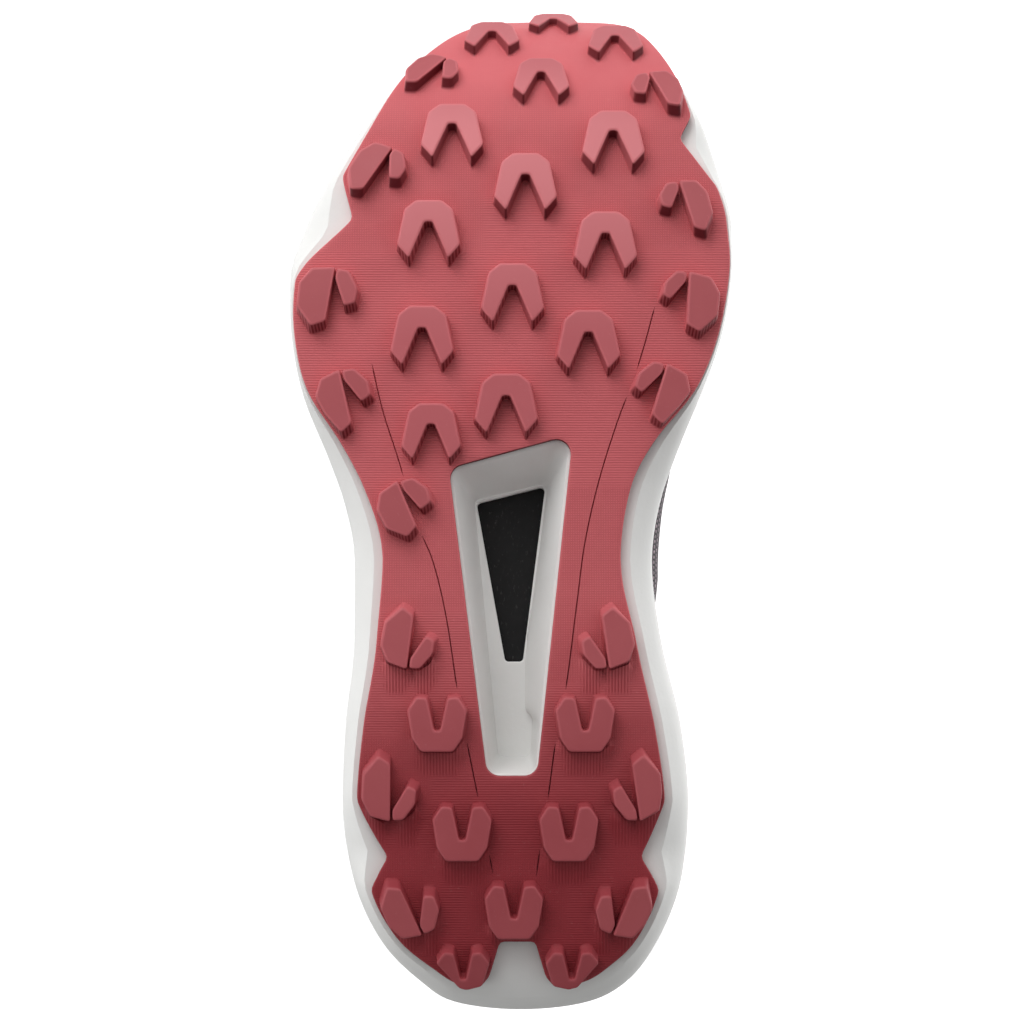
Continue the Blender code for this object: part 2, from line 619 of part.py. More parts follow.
def build_outsole(perimeter):
    """Rubber sheet with its window, notches, rear lobes and lugs, as one solid."""
    land = land_outline(perimeter)
    window = rounded(corners_of(WINDOW_CORNERS), WINDOW_RADIUS, 3)
    tread = Tread(land, window)
    lugs = [open_lug(tread, row) for row in LUG_ROWS]
    for row in SPLIT_ROWS:
        lugs += split_lug(tread, row)
    feet = [foot for foot, _ in lugs]
    loops = [land, window, *feet]
    inner = grid_inside(land, loops[1:], GRID_STEP)
    points, faces = [], []
    for loop in [*loops, inner]:
        points += [(x, y, float(rubber_height(y))) for x, y in loop]
    faces += triangles(loops, inner)
    first = len(land) + len(window)
    for foot, top in lugs:
        start = len(points)
        points += top
        faces += strip(first, start, len(top))
        faces.append(tuple(range(start, start + len(top))))
        first += len(foot)
    start = len(points)
    inner = grid_inside(land, [window], GRID_STEP)
    for loop in (land, window, inner):
        points += [(x, y, float(rubber_height(y)) + TREAD_THICKNESS) for x, y in loop]
    faces += [[start + k for k in face] for face in triangles([land, window], inner)]
    faces += strip(0, start, len(land))
    faces += strip(len(land), start + len(land), len(window))
    return mesh_object("outsole", points, faces)


def midsole_rings(perimeter):
    """Rings of the midsole's side from its underside over the rim to the footbed, as (points, heights)."""
    low_in = np.maximum(1.0, 0.7 * perimeter.band) + 0.45 * perimeter.notches()
    base = foam_height(perimeter.inset(low_in)[:, 1])
    rim = rim_height(perimeter.points[:, 1])
    stands = rim - base
    rings = []
    for inset, share in ((low_in, 0.0), (0.3 * low_in, 0.14), (0.0, 0.32), (RIM_LEAN * 0.35, 0.66), (RIM_LEAN, 1.0)):
        rings.append((perimeter.inset(inset), base + share * stands))
    rings.append((perimeter.inset(RIM_LEAN + RIM_THICKNESS), rim))
    footbed = perimeter.inset(RIM_LEAN + RIM_THICKNESS + CUP_LEAN)
    rings.append((footbed, footbed_height(footbed[:, 1])))
    return rings


def build_midsole(perimeter):
    """Foam with flared sides, a cupped rim and the recess that shows the board."""
    rings = midsole_rings(perimeter)
    window = rounded(corners_of(WINDOW_CORNERS, -WINDOW_LIP), WINDOW_RADIUS, 3)
    hole = rounded(corners_of(HOLE_CORNERS), HOLE_RADIUS, 3)
    points, faces, starts = [], [], []
    for ring, heights in rings:
        starts.append(len(points))
        points += [(x, y, z) for (x, y), z in zip(ring, heights)]
    for first, second in zip(starts, starts[1:]):
        faces += strip(first, second, perimeter.count)
    ends = []
    for outer, loop, height in ((0, window, foam_height), (-1, hole, footbed_height)):
        ring = rings[outer][0]
        inner = grid_inside(ring, [loop], GRID_STEP)
        start = len(points)
        points += [(x, y, float(height(y))) for x, y in loop]
        points += [(x, y, float(height(y))) for x, y in inner]
        ends.append(start)
        count = perimeter.count
        offset = starts[outer]
        for face in triangles([ring, loop], inner):
            faces.append([offset + k if k < count else start + k - count for k in face])
    faces += strip(ends[0], ends[1], len(window))
    return mesh_object("midsole", points, faces)


def sheet_inside(name, perimeter, inset, low, thickness):
    """A flat-lying layer on the footbed, with a rounded upper edge."""
    edge = perimeter.inset(inset)
    top_edge = perimeter.inset(inset + thickness * 0.2)
    count = perimeter.count
    inner = grid_inside(edge, [], GRID_STEP * 1.3)
    points, faces = [], []
    for ring, raise_by in ((edge, 0.0), (edge, thickness * 0.7), (top_edge, thickness)):
        points += [(x, y, float(footbed_height(y)) + low + raise_by) for x, y in ring]
    faces += strip(0, count, count) + strip(count, 2 * count, count)
    for ring_start, ring, height in ((0, edge, low), (2 * count, top_edge, low + thickness)):
        start = len(points)
        points += [(x, y, float(footbed_height(y)) + height) for x, y in inner]
        for face in triangles([ring], inner):
            faces.append([ring_start + k if k < count else start + k - count for k in face])
    return mesh_object(name, points, faces)


class Upper:
    """The upper's outer surface: a column for each point of the sole's outline, rows from feather to top."""

    ROWS = 8

    def __init__(self, perimeter):
        self.perimeter = perimeter
        along = column(UPPER_ROWS, UPPER_COLUMNS, "along")
        stations = (1 - np.cos(perimeter.turn)) / 2

        def value(name):
            return hermite(turn_of(stations), turn_of(along), column(UPPER_ROWS, UPPER_COLUMNS, name))

        side = perimeter.side
        top = np.column_stack([
            side * BALL_WIDTH * value("top_across") + BALL_WIDTH * TOP_CENTRE,
            SHOE_LENGTH * value("top_along"),
            COLLAR_HEIGHT * value("top_height"),
        ])
        cup = RIM_LEAN + RIM_THICKNESS
        feather = perimeter.inset(cup + CUP_LEAN + GAP * 2.5)
        rim = perimeter.inset(cup + GAP * 2)
        full_in = BULGE * np.where(side > 0, value("lateral_in"), value("medial_in"))
        full = perimeter.inset(full_in)
        low = np.column_stack([feather, footbed_height(feather[:, 1]) + GAP])
        rim = np.column_stack([rim, rim_height(perimeter.points[:, 1]) + GAP])
        rim_top = rim_height(perimeter.points[:, 1])
        full = np.column_stack([full, rim_top + (COLLAR_HEIGHT - rim_top) * value("full_up")])
        chord = top - full
        level = np.column_stack([chord[:, 0], chord[:, 1], np.zeros(perimeter.count)])
        reach = np.maximum(np.linalg.norm(level, axis=1), 1e-6)
        length = np.linalg.norm(chord, axis=1)
        outward = np.column_stack([-level[:, 0] / reach * chord[:, 2], -level[:, 1] / reach * chord[:, 2], reach])
        outward /= length[:, None]
        dome = full + chord * 0.45 + outward * (DOME * value("dome"))[:, None]
        rows = [low, rim]
        knots = [rim, full, dome, top]
        for k, steps in ((0, 2), (1, 2), (2, 3)):
            for step in range(1, steps + 1):
                rows.append(self.blend(knots, k, step / steps))
        self.grid = np.stack(rows, axis=1)
        self.pad = COLLAR_PAD * value("pad")
        self.normals = self.normals_of(self.grid)

    @staticmethod
    def blend(knots, k, t):
        """A point of the Catmull-Rom curve between knot k and the next."""
        first, last = knots[k], knots[k + 1]
        before = knots[k - 1] if k else first - (last - first) * 0.5
        after = knots[k + 2] if k + 2 < len(knots) else last + (last - first) * 0.4
        enter, leave = (last - before) / 2, (after - first) / 2
        a = (1 + 2 * t) * (1 - t) ** 2
        b = t * (1 - t) ** 2
        c = t * t * (3 - 2 * t)
        d = t * t * (t - 1)
        return a * first + b * enter + c * last + d * leave

    @staticmethod
    def normals_of(grid):
        """Outward normals of the grid, round its columns and up its rows."""
        around = np.roll(grid, -1, axis=0) - np.roll(grid, 1, axis=0)
        up = np.empty_like(grid)
        up[:, 1:-1] = grid[:, 2:] - grid[:, :-2]
        up[:, 0], up[:, -1] = grid[:, 1] - grid[:, 0], grid[:, -1] - grid[:, -2]
        normal = np.cross(around, up)
        normal /= np.maximum(np.linalg.norm(normal, axis=2), 1e-9)[:, :, None]
        outward = grid - grid.mean(axis=(0, 1))
        if (normal * outward).sum() < 0:
            normal = -normal
        smooth = (np.roll(normal, 1, axis=0) + 2 * normal + np.roll(normal, -1, axis=0)) / 4
        return smooth / np.linalg.norm(smooth, axis=2)[:, :, None]

    def wall(self):
        """Wall at each point: thin below, padded towards the collar."""
        rows = np.linspace(0, 1, self.ROWS + 1)
        share = np.clip((rows - 0.35) / 0.5, 0, 1) ** 2
        lip = 1 - 0.35 * np.clip((rows - 0.9) / 0.1, 0, 1)
        extra = np.maximum(self.pad - WALL, 0)
        return WALL + extra[:, None] * (share * lip)[None, :]

    def thickest(self, place):
        """The wall's greatest thickness in the column at this place."""
        most = self.wall().max(axis=1)
        return float(np.interp((place % 1.0) * self.perimeter.count, np.arange(len(most)), most))

    def at(self, place, row, lift):
        """The surface at a fractional column place (0 to 1 round) and row, lifted along its normal."""
        where = (place % 1.0) * self.perimeter.count
        k = int(math.floor(where)) % self.perimeter.count
        after = (k + 1) % self.perimeter.count
        share = where - math.floor(where)
        j = min(int(math.floor(row)), self.ROWS - 1)
        up = row - j

        def mixed(values):
            low = values[k, j] * (1 - share) + values[after, j] * share
            high = values[k, j + 1] * (1 - share) + values[after, j + 1] * share
            return low * (1 - up) + high * up

        normal = mixed(self.normals)
        return mixed(self.grid) + normal / np.linalg.norm(normal) * lift

    def place_of(self, side, along):
        """The column place of a share of the sole's length on one side."""
        share = float(turn_of(along)) / (2 * math.pi)
        return share if side > 0 else 1 - share


def build_upper(upper):
    """The hollow upper, open at the collar, the throat and underneath."""
    outer = upper.grid
    inner = outer - upper.normals * upper.wall()[:, :, None]
    inner[:, 0, 2] = outer[:, 0, 2]
    count, rows = outer.shape[0], outer.shape[1]
    points = [tuple(point) for point in outer.reshape(-1, 3)] + [tuple(point) for point in inner.reshape(-1, 3)]
    half = count * rows
    faces = []
    for k in range(count):
        after = (k + 1) % count
        for j in range(rows - 1):
            a, b = k * rows + j, after * rows + j
            faces += [(a, b, b + 1), (a, b + 1, a + 1)]
            faces += [(half + a, half + b + 1, half + b), (half + a, half + a + 1, half + b + 1)]
        low, low_after = k * rows, after * rows
        faces.append((low, half + low, half + low_after, low_after))
        high, high_after = low + rows - 1, low_after + rows - 1
        faces.append((high, high_after, half + high_after, half + high))
    return mesh_object("upper", points, faces)


def shell(name, columns, lift, thickness):
    """A thin solid on the upper: columns is a list of rows of (place, row) samples."""
    outer = [[upper_at(place, row, lift + thickness) for place, row in line] for line in columns]
    inner = [[upper_at(place, row, lift) for place, row in line] for line in columns]
    return grid_solid(name, outer, inner)


def grid_solid(name, outer, inner):
    """A closed solid between two grids of points of one size."""
    lines, rows = len(outer), len(outer[0])
    points = [tuple(p) for line in outer for p in line] + [tuple(p) for line in inner for p in line]
    half = lines * rows
    faces = []
    for k in range(lines - 1):
        for j in range(rows - 1):
            a, b = k * rows + j, (k + 1) * rows + j
            faces += [(a, b, b + 1), (a, b + 1, a + 1)]
            faces += [(half + a, half + b + 1, half + b), (half + a, half + a + 1, half + b + 1)]
    ring = [k * rows for k in range(lines)] + [(lines - 1) * rows + j for j in range(1, rows)]
    ring += [k * rows + rows - 1 for k in range(lines - 2, -1, -1)] + [j for j in range(rows - 2, 0, -1)]
    for a, b in zip(ring, ring[1:] + ring[:1]):
        faces.append((a, b, half + b, half + a))
    return mesh_object(name, points, faces)


def places_between(start, end):
    """The upper's own columns from start to end, with the two ends."""
    count = 2 * SIDE_STEPS
    first, last = math.ceil(start * count + 0.2), math.floor(end * count - 0.2)
    return [start] + [k / count for k in range(first, last + 1)] + [end]


def rows_between(low, high, most):
    """Rows from low to high that keep to the upper's own rows, as many for every column of a piece."""
    own = range(math.floor(low) + 1, math.ceil(most))
    rows = [min(float(row), high - ROW_SQUEEZE * (len(own) - k)) for k, row in enumerate(own)]
    return [low, *rows, high]


def arch(place, start, end):
    """1 in the middle of a span of columns, 0 at both ends, rounded."""
    share = (place - start) / (end - start)
    return math.sqrt(max(0.0, 1 - (2 * share - 1) ** 2))


def build_band(name, spec):
    """A toe cap or a heel counter: from the midsole rim to a rounded upper edge."""
    columns = []
    for place in places_between(spec["start"], spec["end"]):
        high = spec["ends"] + (spec["middle"] - spec["ends"]) * arch(place, spec["start"], spec["end"])
        rows = rows_between(spec["low"], high, spec["middle"])
        columns.append([(place, row) for row in rows])
    return shell(name, columns, OVERLAY_GAP, OVERLAY_THICKNESS)


def build_eyestay():
    """The band round the throat that carries the eyelets."""
    columns = []
    for place in places_between(EYESTAY["start"], EYESTAY["end"]):
        dip = arch(place, EYESTAY["start"], EYESTAY["end"])
        low = EYESTAY["ends"] + (EYESTAY["middle"] - EYESTAY["ends"]) * dip ** 3
        columns.append([(place, row) for row in (low, 7.0 + 0.2 * dip ** 3, EYESTAY["high"])])
    return shell("eyestay", columns, OVERLAY_GAP, OVERLAY_THICKNESS)


def throat_line(along, under, clear):
    """The tongue's section at one station: under the upper's wall at both sides and arched between."""
    lateral, medial = UPPER.place_of(1, along), UPPER.place_of(-1, along)
    top = float(UPPER.ROWS)
    lift = -(max(UPPER.thickest(lateral), UPPER.thickest(medial)) + clear)
    left_low, left = upper_at(lateral, top - under, lift), upper_at(lateral, top, lift)
    right_low, right = upper_at(medial, top - under, lift), upper_at(medial, top, lift)
    middle = (left + right) / 2 + np.array([0, 0, 0.16 * np.linalg.norm(left - right)])
    return [left_low, left, middle, right, right_low]


def smooth_line(knots, steps):
    """Points on a Catmull-Rom curve through the knots."""
    knots = [np.asarray(knot, float) for knot in knots]
    line = []
    for k in range(len(knots) - 1):
        for step in range(steps):
            line.append(Upper.blend(knots, k, step / steps))
    return line + [knots[-1]]


def build_tongue():
    """The padded tongue, under the throat's edges and up past the top eyelets."""
    stations = np.linspace(0.80, 0.43, 8)
    unders = np.linspace(1.5, 0.4, len(stations))
    sections = [throat_line(along, under, GAP + 1.0) for along, under in zip(stations, unders)]
    last, before = np.array(sections[-1]), np.array(sections[-2])
    for step in (1.0, 2.0):
        risen = last + (last - before) * step * 0.75 + np.array([0, 0, TONGUE_REACH * 0.4 * step])
        centre = risen[2]
        sections.append(list(centre + (risen - centre) * (1 - 0.09 * step)))
    outer = [smooth_line(section, 2) for section in sections]
    grid = np.array(outer)
    around = np.gradient(grid, axis=1)
    along = np.gradient(grid, axis=0)
    normal = np.cross(around, along)
    normal /= np.linalg.norm(normal, axis=2)[:, :, None]
    if normal[:, :, 2].mean() < 0:
        normal = -normal
    edge = np.array([0.45] + [1.0] * (grid.shape[1] - 2) + [0.45])
    inner = grid - normal * (TONGUE_THICKNESS * edge)[None, :, None]
    return grid_solid("tongue", grid.tolist(), inner.tolist())


def strap(points, ups, width, thickness):
    """Points and faces of a flat strap with bevelled edges along a path."""
    profile = ((-0.5, 0.0), (-0.38, 0.5), (0.38, 0.5), (0.5, 0.0), (0.38, -0.5), (-0.38, -0.5))
    path = np.array(points)
    forward = np.gradient(path, axis=0)
    forward /= np.linalg.norm(forward, axis=1)[:, None]
    verts, faces = [], []
    for centre, ahead, up in zip(path, forward, ups):
        across = np.cross(ahead, up)
        across /= np.linalg.norm(across)
        lifted = np.cross(across, ahead)
        verts += [centre + across * (a * width) + lifted * (b * thickness) for a, b in profile]
    sides = len(profile)
    for k in range(len(path) - 1):
        for j in range(sides):
            a, b = k * sides + j, k * sides + (j + 1) % sides
            faces.append((a, b, b + sides, a + sides))
    faces += [tuple(range(sides)), tuple(range(len(verts) - sides, len(verts)))]
    return verts, faces


def lace_path(first, second):
    """A crossing from one eyelet to another, over both edges of the throat; each is (side, station)."""
    lift = OVERLAY_GAP + OVERLAY_THICKNESS + LACE_GAP + LACE_THICKNESS / 2
    top = float(UPPER.ROWS)
    path, ups = [], []
    for step in range(LACE_STEPS + 1):
        share = step / LACE_STEPS
        along = first[1] + (second[1] - first[1]) * share
        ends, normals = [], []
        for (side, _), near in ((first, share), (second, 1 - share)):
            row = EYELET_ROW + (top - EYELET_ROW) * min(1.0, near / LACE_EDGE)
            place = UPPER.place_of(side, along)
            ends.append(upper_at(place, row, lift))
            normals.append(upper_at(place, row, lift + 1) - ends[-1])
        over = min(1.0, max(0.0, (share - LACE_EDGE) / (1 - 2 * LACE_EDGE)))
        bow = LACE_RISE * math.sin(math.pi * over)
        path.append(ends[0] * (1 - over) + ends[1] * over + np.array([0, 0, bow]))
        up = normals[0] * (1 - over) + normals[1] * over
        ups.append(up / np.linalg.norm(up))
    return path, ups


def build_laces():
    """The lace's bar and crossings, joined into one solid."""
    pieces = [((1, EYELET_STATIONS[0]), (-1, EYELET_STATIONS[0]))]
    for low, high in zip(EYELET_STATIONS, EYELET_STATIONS[1:]):
        pieces.append(((1, low), (-1, high)))
        pieces.append(((-1, low), (1, high)))
    laces = None
    for number, (first, second) in enumerate(pieces):
        points, faces = strap(*lace_path(first, second), LACE_WIDTH, LACE_THICKNESS)
        name = "laces" if laces is None else f"lace_guide_{number}"
        piece = mesh_object(name, points, faces)
        if laces is None:
            laces = piece
            continue
        piece.hide_render = True
        piece.display_type = "WIRE"
        union = laces.modifiers.new(f"crossing_{number}", "BOOLEAN")
        union.operation = "UNION"
        union.object = piece
    return laces


def upper_at(place, row, lift):
    return UPPER.at(place, row, lift)


def volume_and_centre(obj):
    """A solid's volume in cubic metres and its centre."""
    mesh = obj.data
    mesh.calc_loop_triangles()
    points = np.array([vertex.co[:] for vertex in mesh.vertices])
    corners = points[np.array([triangle.vertices[:] for triangle in mesh.loop_triangles])]
    volumes = np.einsum("ij,ij->i", corners[:, 0], np.cross(corners[:, 1], corners[:, 2])) / 6
    centre = (corners.sum(axis=1) / 4 * volumes[:, None]).sum(axis=0) / volumes.sum()
    return volumes.sum(), centre


def lay_down(objects):
    """Turns the shoe onto the face of its hull that carries it on its medial side."""
    weights, centres = [], []
    for obj in objects:
        volume, centre = volume_and_centre(obj)
        weights.append(volume * DENSITIES.get(obj.name, SOFT_DENSITY))
        centres.append(centre)
    mass_centre = Vector(np.average(centres, axis=0, weights=weights))
    hull = bmesh.new()
    for obj in objects:
        for vertex in obj.data.vertices:
            hull.verts.new(vertex.co)
    made = bmesh.ops.convex_hull(hull, input=hull.verts, use_existing_faces=False)
    carrying, largest = None, 0.0
    for face in made["geom"]:
        if not isinstance(face, bmesh.types.BMFace):
            continue
        corners = [vertex.co.copy() for vertex in face.verts]
        normal = (corners[1] - corners[0]).cross(corners[2] - corners[0]).normalized()
        if normal.dot(corners[0] - mass_centre) < 0:
            normal = -normal
        if normal.x > -0.8:
            continue
        foot = mass_centre + normal * normal.dot(corners[0] - mass_centre)
        if geometry.intersect_point_tri(foot, *corners) and face.calc_area() > largest:
            carrying, largest = normal, face.calc_area()
    hull.free()
    down = carrying
    ahead = (Vector((0, 1, 0)) - down * down.y).normalized()
    side = (-down).cross(ahead)
    turn = Matrix((ahead, side, -down)).to_4x4()
    corners = np.array([turn @ vertex.co for obj in objects for vertex in obj.data.vertices])
    low, high = corners.min(axis=0), corners.max(axis=0)
    middle = (low + high) / 2
    shift = Matrix.Translation((-middle[0], -middle[1], -low[2]))
    rest = bpy.data.objects.new("lying_on_its_side", None)
    bpy.context.scene.collection.objects.link(rest)
    rest.matrix_world = shift @ turn
    for obj in [*objects, *[o for o in bpy.data.objects if o.name.startswith("lace_guide_")]]:
        obj.parent = rest
    return rest


for old in list(bpy.data.objects):
    bpy.data.objects.remove(old, do_unlink=True)

PERIMETER = Perimeter(SIDE_STEPS)
UPPER = Upper(PERIMETER)
inner_wall = RIM_LEAN + RIM_THICKNESS + CUP_LEAN + GAP * 2.5 + WALL
pieces = [
    build_outsole(PERIMETER),
    build_midsole(PERIMETER),
    sheet_inside("lasting_board", PERIMETER, inner_wall + GAP * 2, GAP, BOARD_THICKNESS),
    sheet_inside("insole", PERIMETER, inner_wall + GAP * 3, GAP * 2 + BOARD_THICKNESS, INSOLE_THICKNESS),
    build_upper(UPPER),
    build_band("toe_cap", TOE_CAP),
    build_band("heel_counter", HEEL_COUNTER),
    build_eyestay(),
    build_tongue(),
    build_laces(),
]
for piece in pieces:
    give_material(piece)
lay_down(pieces)
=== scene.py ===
"""Looks of the trail running shoe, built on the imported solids. Lengths are millimetres in the upright
shoe's frame, X towards the lateral side, Y from heel to toe and Z up, until on_floor() lays them down."""

import json
import math

import bmesh
import bpy
import numpy as np
from mathutils import Matrix, Vector, geometry


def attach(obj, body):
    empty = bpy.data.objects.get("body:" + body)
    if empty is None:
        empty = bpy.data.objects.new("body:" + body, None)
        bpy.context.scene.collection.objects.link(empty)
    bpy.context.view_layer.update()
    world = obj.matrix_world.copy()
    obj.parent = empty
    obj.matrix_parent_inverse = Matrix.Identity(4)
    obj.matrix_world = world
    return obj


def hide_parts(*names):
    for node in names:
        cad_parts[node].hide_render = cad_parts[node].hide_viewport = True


MM = 0.001
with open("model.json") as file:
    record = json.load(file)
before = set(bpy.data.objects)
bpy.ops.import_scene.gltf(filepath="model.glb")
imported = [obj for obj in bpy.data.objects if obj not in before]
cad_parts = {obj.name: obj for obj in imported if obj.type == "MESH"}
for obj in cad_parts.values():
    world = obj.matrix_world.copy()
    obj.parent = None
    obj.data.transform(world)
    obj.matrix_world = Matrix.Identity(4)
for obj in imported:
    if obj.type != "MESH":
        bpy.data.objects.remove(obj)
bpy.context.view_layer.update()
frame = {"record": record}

# Pose on the floor: the three places that carry the shoe, and the forefoot mount's place.
CARRIED_ON = ((-60.01, 206.28, 15.81), (-47.54, 51.80, 18.63), (-44.29, 42.82, 51.96))
FOREFOOT_MOUNT = (1.353, 203.011, 0.0)

# Camera in the upright shoe's frame, and the picture's size in pixels
CAMERA_PLACE = (1.497, 98.31, -450.0)
CAMERA_TILT = 2.25
FOCAL_PIXELS = 1670.5
CENTRE_DROP = 82.0
PICTURE = 1024.0
SENSOR = 36.0

# Driving sizes of the sole
SHOE_LENGTH = 290.0
BALL_WIDTH = 123.0
TREAD_THICKNESS = 2.5
LUG_HEIGHT = 4.5
TOE_RISE = 40.0
HEEL_RISE = 12.5
ARCH_RISE = 1.9
RIM_HEIGHT = 44.0
FOOTBED_HEIGHT = 30.0
EDGE_BAND = 10.0
RIM_LEAN = 3.0
RIM_THICKNESS = 2.5
CUP_LEAN = 1.5

# Driving sizes of the upper and of what is inside it
COLLAR_HEIGHT = 97.0
WALL = 2.2
COLLAR_PAD = 6.0
BULGE = 10.0
DOME = 6.0
BOARD_THICKNESS = 2.0
INSOLE_THICKNESS = 4.0
OVERLAY_THICKNESS = 1.2
TONGUE_THICKNESS = 4.5
TONGUE_REACH = 7.0
LACE_WIDTH = 5.0
LACE_THICKNESS = 1.8

# Driving sizes of the lugs
LUG_WIDTH = 17.2
LUG_LENGTH = 16.2
LUG_EDGE = 0.7

# Clearances between pieces that touch, and under the overlays where they show
GAP = 0.3
SOLE_GAP = 0.5
SHOWN_GAP = 0.25

# How finely round pieces are divided
SIDE_STEPS = 120

# Midsole outline at its widest. along is a share of SHOE_LENGTH, lateral and medial of BALL_WIDTH,
# and lateral_band and medial_band, the foam that shows outside the rubber, of EDGE_BAND.
OUTLINE_COLUMNS = ("along", "lateral", "medial", "lateral_band", "medial_band")
OUTLINE_ROWS = (
    (0.000, -0.008, 0.008, 0.73, 0.73),
    (0.009, 0.150, 0.168, 0.73, 0.80),
    (0.029, 0.220, 0.249, 0.70, 0.85),
    (0.067, 0.305, 0.315, 0.58, 0.70),
    (0.126, 0.369, 0.370, 0.51, 0.67),
    (0.203, 0.396, 0.388, 0.51, 0.76),
    (0.279, 0.389, 0.370, 0.60, 0.82),
    (0.359, 0.371, 0.327, 0.72, 0.78),
    (0.434, 0.371, 0.307, 0.87, 0.95),
    (0.490, 0.394, 0.325, 0.72, 0.95),
    (0.534, 0.431, 0.360, 0.54, 0.76),
    (0.591, 0.485, 0.414, 0.21, 0.22),
    (0.648, 0.512, 0.463, 0.17, 0.16),
    (0.707, 0.517, 0.487, 0.28, 0.16),
    (0.755, 0.485, 0.489, 0.48, 0.26),
    (0.807, 0.428, 0.463, 0.50, 0.36),
    (0.855, 0.359, 0.431, 0.40, 0.40),
    (0.903, 0.281, 0.385, 0.17, 0.22),
    (0.948, 0.202, 0.335, 0.16, 0.17),
    (0.979, 0.126, 0.286, 0.16, 0.16),
    (0.997, 0.037, 0.211, 0.16, 0.16),
    (1.000, -0.094, 0.094, 0.16, 0.16),
)

# V-shaped notches in the edge of the rubber: side is +1 lateral, -1 medial; apex, behind and ahead are
# shares of SHOE_LENGTH, deep is a share of EDGE_BAND.
NOTCH_COLUMNS = ("side", "apex", "deep", "behind", "ahead")
NOTCH_ROWS = (
    (1, 0.757, 0.88, 0.057, 0.041),
    (-1, 0.836, 0.57, 0.048, 0.024),
    (1, 0.155, 0.70, 0.031, 0.052),
    (-1, 0.155, 0.66, 0.031, 0.052),
)

# Rise of the rubber over the tread plane, as a share of TOE_RISE, HEEL_RISE or ARCH_RISE.
TOE_CURL = (
    (0.724, 0.000), (0.793, 0.022), (0.828, 0.053), (0.862, 0.110), (0.897, 0.225),
    (0.931, 0.387), (0.959, 0.562), (0.979, 0.737), (0.993, 0.900), (1.000, 1.000),
)
HEEL_CURL = ((0.000, 1.00), (0.021, 0.64), (0.048, 0.33), (0.083, 0.136), (0.124, 0.04), (0.172, 0.0))
ARCH_CURVE = ((0.293, 0.0), (0.345, 0.55), (0.431, 1.0), (0.517, 0.8), (0.603, 0.16), (0.640, 0.0))

# Top of the midsole rim as a share of RIM_HEIGHT, and the footbed inside it as one of FOOTBED_HEIGHT.
RIM_CURVE = (
    (0.0, 1.0), (0.21, 0.95), (0.36, 0.87), (0.5, 0.80),
    (0.69, 0.76), (0.82, 0.81), (0.93, 0.97), (1.0, 1.17),
)
FOOTBED_CURVE = (
    (0.0, 1.0), (0.21, 1.0), (0.34, 0.965), (0.52, 0.865), (0.69, 0.80),
    (0.79, 0.827), (0.862, 0.917), (0.914, 1.035), (0.966, 1.217), (1.0, 1.367),
)

# Upper, one row for each station of the sole. top_along is a share of SHOE_LENGTH, top_across of
# BALL_WIDTH and top_height of COLLAR_HEIGHT. full_up is how high the fullest place lies, as a share of the
# way from the rim to COLLAR_HEIGHT, and lateral_in and medial_in how far inside the sole's outline, as
# shares of BULGE. dome is a share of DOME and pad of COLLAR_PAD.
UPPER_COLUMNS = (
    "along", "top_along", "top_across", "top_height", "full_up", "lateral_in", "medial_in", "dome", "pad",
)
UPPER_ROWS = (
    (0.000, 0.034, 0.000, 1.000, 0.180, 0.15, 0.15, 0.5, 1.0),
    (0.041, 0.043, 0.122, 0.993, 0.180, 0.17, 0.17, 0.5, 1.0),
    (0.103, 0.072, 0.212, 0.930, 0.178, 0.25, 0.20, 0.4, 1.0),
    (0.179, 0.138, 0.252, 0.830, 0.168, 0.30, 0.25, 0.4, 1.0),
    (0.259, 0.214, 0.268, 0.758, 0.174, 0.40, 0.20, 0.5, 1.0),
    (0.338, 0.297, 0.240, 0.794, 0.198, 0.35, 0.05, 0.7, 0.9),
    (0.386, 0.345, 0.195, 0.887, 0.214, 0.25, -0.20, 0.8, 0.6),
    (0.428, 0.379, 0.150, 0.938, 0.225, 0.15, -0.40, 1.0, 0.2),
    (0.469, 0.414, 0.138, 0.907, 0.237, 0.10, -0.37, 1.1, 0.0),
    (0.517, 0.459, 0.130, 0.872, 0.236, 0.15, -0.23, 1.2, 0.0),
    (0.569, 0.503, 0.124, 0.832, 0.228, 0.20, 0.00, 1.2, 0.0),
    (0.638, 0.552, 0.117, 0.788, 0.205, 0.30, 0.25, 1.2, 0.0),
    (0.724, 0.603, 0.107, 0.748, 0.184, 0.32, 0.32, 1.0, 0.0),
    (0.810, 0.643, 0.085, 0.724, 0.170, 0.35, 0.35, 0.9, 0.0),
    (0.903, 0.662, 0.047, 0.714, 0.175, 0.47, 0.47, 0.8, 0.0),
    (1.000, 0.667, 0.000, 0.711, 0.180, 0.60, 0.60, 0.8, 0.0),
)
TOP_CENTRE = 0.010

# Window in the rubber and the hole above it in the foam: along as a share of SHOE_LENGTH and across of
# BALL_WIDTH, lateral positive, from the lateral front corner round to the lateral rear corner.
WINDOW_CORNERS = ((0.153, 0.520), (-0.124, 0.552), (-0.043, 0.230), (0.067, 0.230))
HOLE_CORNERS = ((0.094, 0.492), (-0.065, 0.509), (-0.013, 0.337), (0.028, 0.337))
WINDOW_RADIUS = 4.0
HOLE_RADIUS = 1.2
WINDOW_LIP = 0.8

# How near the rubber's other edge points may come to a notch's corners and to the slot
NOTCH_CLEAR = 2.7

# Slot between the two rear lobes of the rubber: half width as a share of BALL_WIDTH, along of SHOE_LENGTH.
SLOT_ROWS = ((0.039, 0.075), (0.063, 0.040), (0.085, 0.029))

